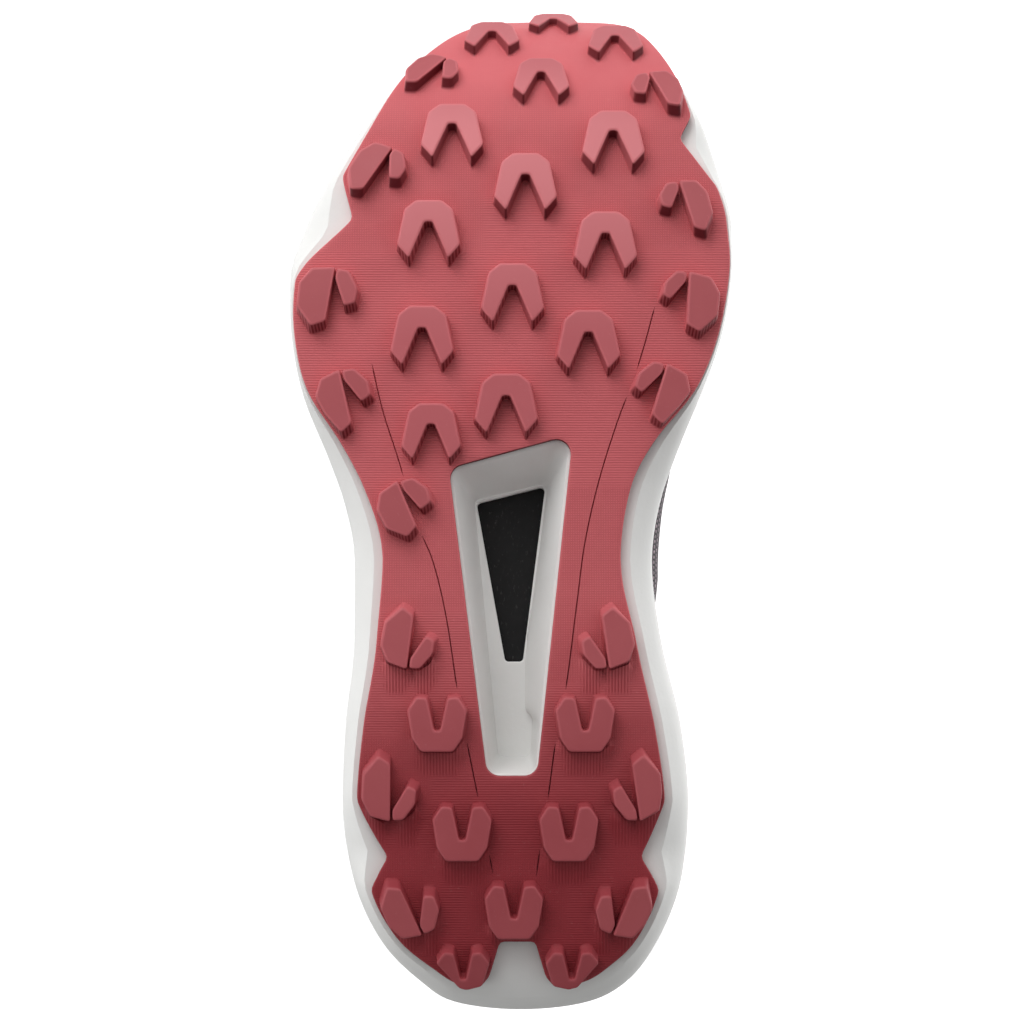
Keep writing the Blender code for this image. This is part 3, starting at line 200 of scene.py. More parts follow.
# Open lugs: across is a share of BALL_WIDTH, along of SHOE_LENGTH; opens is -1 towards the heel, +1
# towards the toe; size scales LUG_WIDTH and LUG_LENGTH; height is a share of LUG_HEIGHT.
LUG_COLUMNS = ("across", "along", "opens", "size", "height")
LUG_ROWS = (
    (0.059, 0.953, -1, 0.92, 0.62),
    (-0.228, 0.946, -1, 0.92, 0.62),
    (-0.086, 0.979, -1, 0.84, 0.55),
    (-0.054, 0.896, -1, 0.92, 0.72),
    (0.146, 0.838, -1, 1.00, 0.90),
    (-0.214, 0.831, -1, 1.00, 0.90),
    (-0.018, 0.788, -1, 1.00, 1.00),
    (0.197, 0.743, -1, 1.00, 1.00),
    (-0.195, 0.732, -1, 1.00, 1.00),
    (0.011, 0.683, -1, 1.00, 1.00),
    (0.211, 0.643, -1, 1.00, 1.00),
    (-0.157, 0.639, -1, 1.00, 1.00),
    (0.025, 0.580, -1, 1.00, 1.00),
    (0.191, 0.554, -1, 0.94, 1.00),
    (0.176, 0.279, 1, 0.93, 1.00),
    (-0.148, 0.279, 1, 0.93, 1.00),
    (0.121, 0.178, 1, 0.93, 1.00),
    (-0.112, 0.178, 1, 0.93, 1.00),
    (0.008, 0.106, 1, 0.92, 0.90),
    (0.120, 0.049, 1, 0.84, 0.75),
    (-0.120, 0.049, 1, 0.84, 0.75),
)

# Half of an open lug's face: across as a share of half LUG_WIDTH, along of half LUG_LENGTH, positive at
# its closed end. The last two are how far the foot spreads across and along, as shares of the height.
FORE_FACE = (
    (0.40, 0.98, 0.05, 0.11), (0.76, 0.68, 0.10, 0.06), (1.00, -0.54, 0.13, -0.12),
    (0.62, -1.00, 0.00, -0.50), (0.13, 0.24, -0.08, -0.12),
)
HEEL_FACE = (
    (0.54, 0.98, 0.05, 0.11), (0.84, 0.52, 0.10, 0.06), (1.00, -0.50, 0.10, -0.04),
    (0.70, -0.98, 0.04, -0.20), (0.34, -0.94, -0.06, -0.20), (0.10, 0.22, -0.05, -0.06),
)

# Split lugs at the edge, each a large outer and a small inner block that meet at the closed end of a
# slit. side, across, along and opens as above, for the closed end; turns are in degrees away from the
# other block; lengths and widths are shares of LUG_LENGTH and LUG_WIDTH.
SPLIT_COLUMNS = (
    "side", "across", "along", "opens", "outer_turn", "outer_length", "outer_width",
    "inner_turn", "inner_length", "inner_width", "height",
)
SPLIT_ROWS = (
    (1, 0.159, 0.920, -1, 36, 0.96, 0.37, -12, 0.59, 0.24, 0.65),
    (1, 0.276, 0.821, -1, 33, 1.02, 0.41, -10, 0.57, 0.25, 0.90),
    (1, 0.401, 0.707, -1, 10, 1.05, 0.52, 9, 0.68, 0.27, 1.00),
    (1, 0.391, 0.611, -1, -13, 1.04, 0.47, 31, 0.65, 0.27, 1.00),
    (1, 0.263, 0.507, -1, -23, 0.93, 0.48, 35, 0.62, 0.30, 1.00),
    (-1, 0.297, 0.902, -1, 20, 0.96, 0.41, 3, 0.56, 0.26, 0.65),
    (-1, 0.356, 0.789, -1, 17, 0.96, 0.38, 10, 0.50, 0.24, 0.92),
    (-1, 0.377, 0.703, -1, -3, 1.01, 0.51, 30, 0.57, 0.22, 1.00),
    (-1, 0.328, 0.617, -1, -17, 1.01, 0.50, 37, 0.65, 0.24, 1.00),
    (1, 0.241, 0.329, 1, -7, 1.03, 0.46, 26, 0.65, 0.23, 1.00),
    (-1, 0.199, 0.329, 1, -8, 1.03, 0.47, 26, 0.65, 0.24, 1.00),
    (1, 0.276, 0.189, 1, 0, 1.09, 0.45, 22, 0.67, 0.23, 1.00),
    (-1, 0.265, 0.189, 1, -8, 1.09, 0.48, 24, 0.68, 0.23, 1.00),
    (1, 0.206, 0.085, 1, 24, 0.99, 0.44, -2, 0.70, 0.25, 0.85),
    (-1, 0.206, 0.085, 1, 22, 0.99, 0.45, -1, 0.70, 0.25, 0.85),
)
# Faces of the two blocks: along and away from the slit, as shares of the block's length and width, and
# how far the foot spreads each way, as shares of the height.
OUTER_FACE = (
    (0.00, 0.00, -0.08, 0.00), (0.88, 0.00, 0.45, 0.00), (1.00, 0.42, 0.45, 0.05),
    (0.72, 0.95, 0.22, 0.14), (0.34, 1.00, 0.00, 0.12), (0.08, 0.70, -0.08, 0.10),
)
INNER_FACE = (
    (0.03, 0.00, -0.05, 0.00), (0.97, 0.04, 0.45, -0.05), (0.95, 0.70, 0.40, 0.10),
    (0.60, 1.00, 0.10, 0.12), (0.14, 0.66, -0.06, 0.10),
)
SLIT_WIDTH = 0.5
SLIT_CLOSED = 0.28

# Overlays: start and end are shares of the way round the upper's columns (0 heel, 0.25 lateral, 0.5 toe),
# low and high the rows that they cover at the middle and at the ends.
TOE_CAP = {"start": 0.3889, "end": 0.6111, "low": 1.45, "middle": 4.1, "ends": 3.0}
HEEL_COUNTER = {"start": -0.0972, "end": 0.0972, "low": 1.15, "middle": 4.6, "ends": 3.0}
EYESTAY = {"start": 0.222, "end": 0.778, "ends": 6.0, "middle": 6.9, "high": 7.9}

# How many rows of points a band and the eyestay have between their edges, how far in from a band's ends the
# next points lie, as a share of the way round, and how thick an overlay is at its edge and beside it
BAND_ROWS = 9
EYESTAY_ROWS = 5
BAND_EDGE = 0.0025
OVERLAY_EDGE = (0.35, 0.8, 1.0)

# Lace crossings from the lowest to the highest eyelets, as shares of SHOE_LENGTH. LACE_EDGE is the share of
# a crossing that lies on the eyestay, LACE_HUMP its lift there, LACE_DIP how far it goes down an eyelet,
# LACE_ENDS the shares of its length that it goes on there, and LACE_PROFILE its section as shares of
# LACE_WIDTH and LACE_THICKNESS.
EYELET_STATIONS = (0.700, 0.640, 0.585, 0.533, 0.484, 0.442)
EYELET_ROW = 7.35
LACE_RISE = 2.0
LACE_EDGE = 0.2
LACE_HUMP = 0.9
LACE_DIP = 4.0
LACE_ENDS = (0.02, 0.05, 0.09)
LACE_POINTS = 30
LACE_PROFILE = (
    (-0.5, 0.0), (-0.46, 0.32), (-0.36, 0.47), (0.0, 0.52), (0.36, 0.47), (0.46, 0.32),
    (0.5, 0.0), (0.46, -0.32), (0.36, -0.47), (0.0, -0.5), (-0.36, -0.47), (-0.46, -0.32),
)
EYELET_RADIUS = 2.3
EYELET_ROLL = 0.55

# A stitch: the spacing from one to the next, and of that the share it fills, its width and height, its rings
# as shares along it with their swell, and the points of a ring as shares of width and height
STITCH_SPACING = 2.2
STITCH_FILL = 0.72
STITCH_WIDTH = 0.5
STITCH_HEIGHT = 0.42
STITCH_RINGS = ((-0.5, 0.35), (-0.3, 1.0), (0.3, 1.0), (0.5, 0.35))
STITCH_SECTION = ((-0.5, 0.0), (-0.3, 0.8), (0.3, 0.8), (0.5, 0.0), (0.0, -0.4))
COLLAR_SEAM_ROW = 5.75

# Tongue: stations of its toe and ankle ends, rows that it reaches under the upper there, how finely it is
# divided, steps past the throat's ends, and how much it sinks or narrows with each
TONGUE_STATIONS = (0.80, 0.43)
TONGUE_UNDER = (1.5, 0.4)
TONGUE_SECTIONS = 29
TONGUE_SPREAD = 7
TONGUE_FRONT_STEPS = (0.35, 0.7, 1.05)
TONGUE_DROP = 0.6
TONGUE_BACK_STEPS = (0.5, 1.0, 1.5, 2.0)
TONGUE_ONWARD = 0.75
TONGUE_LIFT = 0.4
TONGUE_NARROWS = 0.09

# Soft swells of the upper's outside: row of the fullest place, reach in rows and height in millimetres, and
# for the medial waist its place and reach as shares of SHOE_LENGTH. COLLAR_ROLL is the collar's rise.
COLLAR_SWELL = {"row": 6.9, "rows": 0.75, "height": 1.4}
WAIST_SWELL = {"row": 2.6, "rows": 1.0, "height": 0.6, "along": 0.44, "reach": 0.07}
COLLAR_ROLL = 0.35

# Small forms that only the looks have: rounded edges of rubber and foam, grooves, and how finely they are
# made. LUG_RIM's rings say how far each is drawn in, how far it stays short of the face, and its painted
# highlight.
# LUG_FILLET is how far a lug's lowest ring has gone from foot to face, across, along and up.
FINE = 4
LAYER_STEPS = 36
BASE_GRID = 1.7
UNDER_GRID = 5.0
CORNER_STEPS = 3
LAND_STEP = 1.2
LAND_EDGE = 0.45
LUG_ROUND = 0.55
LUG_RIM = ((0.13, 0.16, 1.0), (0.48, 0.0, 0.75))
LUG_FACE_IN = 0.75
LUG_FILLET = (0.30, 0.30, 0.12)
GROOVE_WIDTH = 0.38
GROOVE_DEPTH = 0.5
GROOVE_CLEAR = 0.8
ARC_STEPS = 8
EDGE_PARTS = 60

# Floor of the recess round its hole, longer at the heel end, with a small step in its medial edge.
# FLOOR_SHARE is its share of the footbed's height, and FLOOR_STEP where the step lies along the shoe.
FLOOR_CORNERS = ((0.099, 0.495), (-0.070, 0.512), (-0.030, 0.244), (0.044, 0.244))
FLOOR_RADIUS = 2.0
FLOOR_SHARE = 0.87
FLOOR_STEP = 0.282
FLOOR_BEND = 2.2
FLOOR_MARGIN = 0.55
HOLE_LIP = 0.35

# Scored lines in the rubber, from the ball to the heel: across as a share of BALL_WIDTH, along of
# SHOE_LENGTH.
GROOVE_LATERAL = (
    (0.324, 0.618), (0.302, 0.577), (0.266, 0.529), (0.220, 0.464), (0.190, 0.434), (0.161, 0.385),
    (0.132, 0.308), (0.114, 0.267), (0.085, 0.206), (0.067, 0.167), (0.050, 0.131),
)
GROOVE_MEDIAL = (
    (-0.324, 0.706), (-0.302, 0.666), (-0.266, 0.613), (-0.223, 0.564), (-0.181, 0.507), (-0.150, 0.449),
    (-0.133, 0.395), (-0.105, 0.307), (-0.085, 0.264), (-0.066, 0.206), (-0.052, 0.170), (-0.040, 0.132),
)

# Where the rubber's lines cross into a fine square grid: centre and reach, across and along as above.
GRID_COLUMNS = ("across", "along", "reach_across", "reach_along")
GRID_ROWS = (
    (0.00, 0.870, 0.60, 0.085),
    (0.25, 0.790, 0.16, 0.060),
    (-0.28, 0.770, 0.12, 0.040),
    (0.22, 0.440, 0.14, 0.050),
    (-0.17, 0.450, 0.12, 0.050),
    (-0.16, 0.360, 0.10, 0.040),
    (0.15, 0.255, 0.10, 0.018),
    (0.29, 0.235, 0.09, 0.030),
    (-0.24, 0.265, 0.10, 0.018),
    (0.00, 0.120, 0.10, 0.035),
    (0.26, 0.140, 0.08, 0.020),
    (-0.30, 0.140, 0.08, 0.020),
)

# Pitches of the rubber's lines, of its squares and of its upright ribs, and how deep they are pressed. The
# relief grows from RELIEF_LEAST at RELIEF_START to full at RELIEF_END, shares of SHOE_LENGTH from the heel.
LINE_PITCH = 0.68
GRID_PITCH = 0.65
RIB_PITCH = 0.85
RELIEF_DEPTH = 0.06
RELIEF_LEAST = 0.08
RELIEF_START = 0.90
RELIEF_END = 0.84

# Lugs behind RIB_END have ribbed rear sides where these face the heel by more than RIB_FACING. Sides that
# face the heel and the medial side get painted shade; TOWARDS is how much facing the lateral side and the toe
# count against it.
RIB_END = 0.78
RIB_FACING = 0.6
RIB_RELIEF = 0.75
TOWARDS = (-0.15, -1.35)

# Lugs behind RAMP_END are backed by low ribbed ramps: width and taper as shares of the lug's, the rest in
# millimetres. The patch of ribs lies on and round the ramp.
RAMP_END = 0.36
RAMP_LENGTH = 8.0
RAMP_HEIGHT = 1.8
RAMP_UNDER = 2.0
RAMP_START = 1.5
RAMP_HALF = 0.44
RAMP_TAPER = 0.25
RAMP_SIDE = 1.2
PATCH_UNDER = 3.0
PATCH_LENGTH = 9.5
PATCH_HALF = 0.42
PATCH_TAPER = 0.035

# Colours as linear red, green and blue. A pair is the two tones of a cloudy finish.
# RUBBER_FORE against RUBBER_HEEL, and the lug faces from heel through waist and ball to toe, are painted
# light and shade: lightest at the ball, darkest at the heel.
RUBBER_FORE = ((0.57, 0.122, 0.137), (0.63, 0.142, 0.157))
RUBBER_HEEL = ((0.26, 0.028, 0.037), (0.30, 0.036, 0.046))
LUG_HEEL = (0.30, 0.052, 0.062)
LUG_WAIST = (0.45, 0.104, 0.118)
LUG_BALL = (0.64, 0.205, 0.222)
LUG_TOE = (0.46, 0.128, 0.142)
LUG_SPLIT = (0.35, 0.072, 0.082)
LUG_CLOUD = (0.60, 0.16, 0.18)
# Painted highlight for the rubber's rounded edges.
RUBBER_EDGE_HIGHLIGHT = (0.80, 0.27, 0.30)
# Painted shade for the sides that face the heel and the medial side.
RUBBER_SHADE = (0.10, 0.004, 0.009)
# Painted shade in the valleys of the fine ridges.
RUBBER_VALLEY_SHADE = (0.20, 0.015, 0.02)
# Painted shade inside the scored grooves, darker towards the heel.
RUBBER_GROOVE_SHADE = ((0.15, 0.008, 0.014), (0.33, 0.035, 0.045))
RUBBER_DUST = (0.75, 0.36, 0.36)
FOAM = ((0.74, 0.74, 0.725), (0.82, 0.82, 0.805))
FOAM_SCUFF = (0.52, 0.50, 0.47)
BOARD = ((0.004, 0.004, 0.0045), (0.010, 0.010, 0.0105))
BOARD_FIBRE = (0.07, 0.068, 0.066)
YARN = ((0.100, 0.076, 0.090), (0.420, 0.315, 0.365))
YARN_HOLE = (0.020, 0.018, 0.022)
KNIT_BLACK = (0.010, 0.010, 0.011)
KNIT_BORDER = (0.060, 0.058, 0.040)
LINING = ((0.016, 0.015, 0.017), (0.034, 0.031, 0.036))
LINING_YARN = (0.065, 0.060, 0.070)
BLACK_FILM = ((0.010, 0.010, 0.011), (0.022, 0.022, 0.024))
EYESTAY_FILM = ((0.016, 0.014, 0.017), (0.034, 0.030, 0.036))
EYELET_FILM = ((0.020, 0.019, 0.022), (0.045, 0.042, 0.048))
WEBBING = ((0.16, 0.135, 0.15), (0.32, 0.28, 0.31))
THREAD = ((0.10, 0.088, 0.10), (0.19, 0.165, 0.185))
FLOOR_PAPER = ((0.80, 0.80, 0.80), (0.84, 0.84, 0.84))

# Where the rubber's colours and their painted shade change, in millimetres from the heel
BODY_CHANGE = (55.0, 118.0)
LUG_CHANGES = ((60.0, 150.0), (185.0, 235.0), (245.0, 268.0))
SCORED_CHANGE = (80.0, 150.0)

# Light of the white surroundings: AMBIENT from in front of the shoe, BEHIND from behind it, times HEEL_SIDE
# at the heel's side and FLOOR_SIDE from below. The ENDS are the parts of a direction between which each
# changes. BACKDROP is what the camera sees.
AMBIENT = 0.39
BEHIND = 1.2
BEHIND_ENDS = (-0.5, 0.5)
HEEL_SIDE = 0.25
HEEL_SIDE_ENDS = (-0.6, 0.45)
FLOOR_SIDE = 2.6
FLOOR_SIDE_ENDS = (-0.6, 0.0)
BACKDROP = 1.15
FLOOR_GLOW = 0.84
FLOOR_SIZE = 6

# Soft lights in the row frame: name, place, target, watts and size in metres
LIGHTS = (
    ("key", (0.42, -0.42, 0.34), (0.03, -0.04, 0.06), 2.5, 0.45),
    ("fill", (0.1, -1.0, 0.5), (0.0, 0.0, 0.05), 0.8, 0.8),
    ("overhead", (-0.42, -0.10, 0.90), (-0.05, 0.0, 0.0), 3.4, 0.8),
)


def rest_pose():
    """Matrix from the upright shoe in millimetres to the row frame in metres."""
    a, b, c = (Vector(point) for point in CARRIED_ON)
    down = (b - a).cross(c - a).normalized()
    if down.x > 0:
        down = -down
    ahead = (Vector((0, 1, 0)) - down * down.y).normalized()
    side = (-down).cross(ahead)
    turn = (Matrix((ahead, side, -down)) * MM).to_4x4()
    mount = next(m for m in frame["record"]["mounts"] if m["name"] == "tread_forefoot")
    shift = Vector(mount["pos_m"]) - turn @ Vector(FOREFOOT_MOUNT)
    return Matrix.Translation(shift) @ turn


REST = rest_pose()
TURN = np.array(REST)[:3, :3]
SHIFT = np.array(REST)[:3, 3]


def on_floor(points):
    """Points of the upright shoe as points of the row frame, in metres."""
    return np.asarray(points, float) @ TURN.T + SHIFT


def make_camera():
    """The camera below the sole, with the toe up in its picture."""
    tilt = math.radians(CAMERA_TILT)
    right = Vector((-1, 0, 0))
    up = Vector((0, math.cos(tilt), -math.sin(tilt)))
    back = right.cross(up)
    turn = REST.to_3x3() * (1 / MM)
    axes = Matrix((turn @ right, turn @ up, turn @ back)).transposed().to_4x4()
    data = bpy.data.cameras.new("camera")
    camera = bpy.data.objects.new("camera", data)
    bpy.context.scene.collection.objects.link(camera)
    camera.matrix_world = Matrix.Translation(REST @ Vector(CAMERA_PLACE)) @ axes
    data.sensor_width = SENSOR
    data.lens = SENSOR * FOCAL_PIXELS / PICTURE
    data.shift_y = CENTRE_DROP / PICTURE
    data.clip_start = 0.01
    bpy.context.scene.camera = camera


class Shape:
    """Points with named values for the materials, and the faces between them."""

    def __init__(self, *names):
        self.points, self.faces, self.slots = [], [], []
        self.values = {name: [] for name in names}

    def add(self, points, **values):
        """Adds points, each with its values, and gives the index of the first."""
        start = len(self.points)
        points = np.asarray(points, float).reshape(-1, 3)
        self.points += points.tolist()
        for name, kept in self.values.items():
            kept += np.broadcast_to(values.get(name, 0.0), len(points)).tolist()
        return start

    def join(self, faces, slot=0):
        self.faces += [list(face) for face in faces]
        self.slots += [slot] * len(faces)

    def ring(self, first, second, count):
        """Quads between two closed rings of points that start at these indices."""
        on = [(k + 1) % count for k in range(count)]
        self.join([(first + k, first + on[k], second + on[k], second + k) for k in range(count)])

    def stack(self, starts, count):
        """Joins each of these rings to the next."""
        for first, second in zip(starts, starts[1:]):
            self.ring(first, second, count)

    def sheet(self, half, lines, rows):
        """Faces of a two-sided sheet and its border. Its outer points start at 0, its inner ones at half."""
        for k in range(lines - 1):
            for j in range(rows - 1):
                a, b = k * rows + j, (k + 1) * rows + j
                self.join([(a, b, b + 1, a + 1), (half + a, half + a + 1, half + b + 1, half + b)])
        border = [k * rows for k in range(lines)] + [(lines - 1) * rows + j for j in range(1, rows)]
        border += [k * rows + rows - 1 for k in range(lines - 2, -1, -1)] + list(range(rows - 2, 0, -1))
        self.join([(a, b, half + b, half + a) for a, b in zip(border, border[1:] + border[:1])])

    def cap(self, loops, starts, inner, heights, **values):
        """A flat sheet between outlines that start at these indices, with inner points at their heights."""
        first = self.add(np.column_stack([inner, heights]), **values)
        places = []
        for loop, start in zip([*loops, inner], [*starts, first]):
            places += range(start, start + len(loop))
        self.join([[places[k] for k in face] for face in triangles(loops, inner)])

    def piece(self, name, materials, replaces=(), crease=38.0):
        """The finished piece, closed and facing out, riding on the shoe's one body."""
        mesh = bpy.data.meshes.new(name)
        mesh.from_pydata(on_floor(self.points).tolist(), [], self.faces)
        mesh.polygons.foreach_set("material_index", self.slots)
        body = bmesh.new()
        body.from_mesh(mesh)
        bmesh.ops.recalc_face_normals(body, faces=body.faces)
        if body.calc_volume(signed=True) < 0:
            bmesh.ops.reverse_faces(body, faces=body.faces)
        body.to_mesh(mesh)
        body.free()
        for key, kept in self.values.items():
            mesh.attributes.new(key, "FLOAT", "POINT").data.foreach_set("value", kept)
        mesh.shade_smooth()
        mesh.set_sharp_from_angle(angle=math.radians(crease))
        for material in materials:
            mesh.materials.append(material)
        obj = bpy.data.objects.new(name, mesh)
        bpy.context.scene.collection.objects.link(obj)
        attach(obj, "root")
        if replaces:
            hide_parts(*replaces)
        return obj


def feed(tree, socket, value):
    """Links a node's output to a socket, or sets the socket to a value."""
    if isinstance(value, bpy.types.NodeSocket):
        tree.links.new(value, socket)
    else:
        socket.default_value = value


def combined(tree, operation, *values, clamp=False):
    made = tree.nodes.new("ShaderNodeMath")
    made.operation = operation
    made.use_clamp = clamp
    for socket, value in zip(made.inputs, values):
        feed(tree, socket, value)
    return made.outputs[0]


def graded(tree, value, low, high, start=0.0, end=1.0):
    """A share that goes from start to end as value goes from low to high."""
    made = tree.nodes.new("ShaderNodeMapRange")
    names = ("Value", "From Min", "From Max", "To Min", "To Max")
    for name, given in zip(names, (value, low, high, start, end)):
        feed(tree, made.inputs[name], given)
    return made.outputs[0]


class Paint:
    """One material, with short calls that make its nodes. Coordinates are the upright shoe's millimetres."""

    def __init__(self, name, roughness=0.6, sheen=0.0):
        self.material = bpy.data.materials.new(name)
        self.material.use_nodes = True
        self.tree = self.material.node_tree
        self.shader = self.tree.nodes["Principled BSDF"]
        self.shader.inputs["Roughness"].default_value = roughness
        self.shader.inputs["Sheen Weight"].default_value = sheen
        place = self.node("ShaderNodeTexCoord").outputs["Object"]
        back = REST.inverted()
        mapping = self.node("ShaderNodeMapping")
        mapping.inputs["Location"].default_value = back.to_translation()
        mapping.inputs["Rotation"].default_value = back.to_3x3().normalized().to_euler("XYZ")
        mapping.inputs["Scale"].default_value = (1 / MM, 1 / MM, 1 / MM)
        self.tree.links.new(place, mapping.inputs["Vector"])
        self.place = mapping.outputs["Vector"]
        split = self.node("ShaderNodeSeparateXYZ")
        self.tree.links.new(self.place, split.inputs[0])
        self.x, self.y, _ = split.outputs

    def node(self, kind, **settings):
        made = self.tree.nodes.new(kind)
        for name, value in settings.items():
            setattr(made, name, value)
        return made

    def feed(self, socket, value):
        feed(self.tree, socket, value)

    def times(self, a, b):
        return combined(self.tree, "MULTIPLY", a, b)

    def plus(self, a, b):
        return combined(self.tree, "ADD", a, b)

    def less(self, a, b):
        return combined(self.tree, "SUBTRACT", a, b)

    def value(self, name):
        return self.node("ShaderNodeAttribute", attribute_name=name).outputs["Fac"]

    def wave(self, along, pitch, sharp=1.0):
        """Ridges from 0 to 1 along a coordinate."""
        turn = combined(self.tree, "SINE", self.times(along, 2 * math.pi / pitch))
        return combined(self.tree, "MULTIPLY_ADD", turn, 0.5 * sharp, 0.5, clamp=True)

    def noise(self, size, detail=3.0, rough=0.55, stretch=(1, 1, 1)):
        mapping = self.node("ShaderNodeMapping")
        mapping.inputs["Scale"].default_value = stretch
        self.feed(mapping.inputs["Vector"], self.place)
        made = self.node("ShaderNodeTexNoise")
        made.inputs["Scale"].default_value = 1 / size
        made.inputs["Detail"].default_value = detail
        made.inputs["Roughness"].default_value = rough
        self.feed(made.inputs["Vector"], mapping.outputs[0])
        return made.outputs["Fac"]

    def ramp(self, value, low, high, start=0.0, end=1.0):
        return graded(self.tree, value, low, high, start, end)

    def mix(self, share, first, second):
        made = self.node("ShaderNodeMix", data_type="RGBA")
        self.feed(made.inputs[0], share)
        for socket, colour in ((made.inputs[6], first), (made.inputs[7], second)):
            self.feed(socket, colour if isinstance(colour, bpy.types.NodeSocket) else (*colour, 1.0))
        return made.outputs[2]

    def bump(self, height, depth, normal=None):
        made = self.node("ShaderNodeBump")
        made.inputs["Distance"].default_value = depth * MM
        self.feed(made.inputs["Height"], height)
        if normal is not None:
            self.feed(made.inputs["Normal"], normal)
        return made.outputs[0]

    def finish(self, colour, normal=None, roughness=None):
        self.feed(self.shader.inputs["Base Color"], colour)
        if normal is not None:
            self.feed(self.shader.inputs["Normal"], normal)
        if roughness is not None:
            self.feed(self.shader.inputs["Roughness"], roughness)
        return self.material


def rubber_material():
    """Moulded rubber: fine ridges between the lugs, crossed in places, smooth lug faces; painted highlights
    on the edges, and painted shade on heel-facing sides, in ridge valleys and grooves, and towards the heel.
    """
    paint = Paint("rubber", roughness=0.55)
    paint.shader.inputs["Specular IOR Level"].default_value = 0.2
    relief, grid, ribs = paint.value("relief"), paint.value("grid"), paint.value("ribs")
    lines = paint.wave(paint.y, LINE_PITCH, 1.5)
    across = paint.wave(paint.x, GRID_PITCH, 1.5)
    along = paint.wave(paint.y, GRID_PITCH, 1.5)
    squares = paint.times(across, along)
    upright = paint.wave(paint.x, RIB_PITCH, 1.6)
    plain = paint.plus(lines, paint.times(grid, paint.less(squares, lines)))
    pattern = paint.plus(plain, paint.times(ribs, paint.less(upright, plain)))
    sunk = paint.times(paint.less(1.0, pattern), relief)
    grain = paint.noise(0.35, 2.0)
    cloud = paint.noise(16.0, 3.0)
    # Painted shade: the rubber between the lugs and the lug faces darken towards the heel.
    body = paint.mix(
        paint.ramp(paint.y, *BODY_CHANGE), paint.mix(cloud, *RUBBER_HEEL), paint.mix(cloud, *RUBBER_FORE),
    )
    lug_top = LUG_HEEL
    for ends, tone in zip(LUG_CHANGES, (LUG_WAIST, LUG_BALL, LUG_TOE)):
        lug_top = paint.mix(paint.ramp(paint.y, *ends), lug_top, tone)
    lug_top = paint.mix(paint.times(paint.value("split"), 0.8), lug_top, LUG_SPLIT)
    lug_top = paint.mix(paint.times(cloud, 0.25), lug_top, LUG_CLOUD)
    colour = paint.mix(paint.value("lug"), body, lug_top)
    # Painted highlight: the rounded edges of lugs, outline and window are lightened.
    colour = paint.mix(paint.times(paint.value("edge"), 0.10), colour, RUBBER_EDGE_HIGHLIGHT)
    # Painted shade: sides that face the heel and the medial side darken, a little less on their rib crests.
    shown = paint.less(0.93, paint.times(paint.times(ribs, upright), 0.35))
    colour = paint.mix(paint.times(paint.value("wall"), shown), colour, RUBBER_SHADE)
    # Painted shade in the valleys of the fine ridges, deeper on the upright ribs.
    depth = paint.plus(0.27, paint.times(ribs, 0.30))
    colour = paint.mix(paint.times(sunk, depth), colour, RUBBER_VALLEY_SHADE)
    # Painted shade inside the scored grooves, darker towards the heel.
    scored = paint.mix(paint.ramp(paint.y, *SCORED_CHANGE), *RUBBER_GROOVE_SHADE)
    colour = paint.mix(paint.value("groove"), colour, scored)
    speck = paint.ramp(paint.noise(1.1, 4.0, 0.7), 0.62, 0.75)
    colour = paint.mix(paint.times(speck, 0.10), colour, RUBBER_DUST)
    normal = paint.bump(paint.times(pattern, relief), RELIEF_DEPTH)
    normal = paint.bump(grain, 0.012, normal)
    roughness = paint.ramp(paint.noise(5.0, 3.0), 0.3, 0.7, 0.50, 0.64)
    return paint.finish(colour, normal, roughness)


def foam_material():
    """Moulded foam with a fine skin."""
    paint = Paint("foam", roughness=0.6)
    cloud = paint.noise(22.0, 3.0)
    colour = paint.mix(cloud, *FOAM)
    scuff = paint.ramp(paint.noise(3.0, 5.0, 0.7), 0.64, 0.80)
    colour = paint.mix(paint.times(scuff, 0.18), colour, FOAM_SCUFF)
    normal = paint.bump(paint.noise(0.9, 2.0), 0.035)
    normal = paint.bump(paint.noise(5.0, 2.0), 0.10, normal)
    return paint.finish(colour, normal, paint.ramp(cloud, 0.3, 0.7, 0.55, 0.68))


def board_material():
    """Stiff felted board: black with a few lighter fibres."""
    paint = Paint("board", roughness=0.9, sheen=0.05)
    fibre = paint.noise(0.7, 4.0, 0.7, (1.0, 0.35, 1.0))
    cloud = paint.noise(4.0, 3.0)
    colour = paint.mix(cloud, *BOARD)
    colour = paint.mix(paint.times(paint.ramp(fibre, 0.60, 0.72), 0.6), colour, BOARD_FIBRE)
    return paint.finish(colour, paint.bump(fibre, 0.15))


def knit(paint, pitch_across, pitch_along):
    """Height of a fine knitted mesh, measured round and up the surface."""
    around, up = paint.value("around"), paint.value("up")
    shifted = paint.plus(around, paint.times(paint.wave(up, 2 * pitch_along, 9.0), pitch_across / 2))
    loops = paint.wave(shifted, pitch_across, 1.2)
    ribs = paint.wave(up, pitch_along, 1.2)
    return paint.times(loops, ribs)


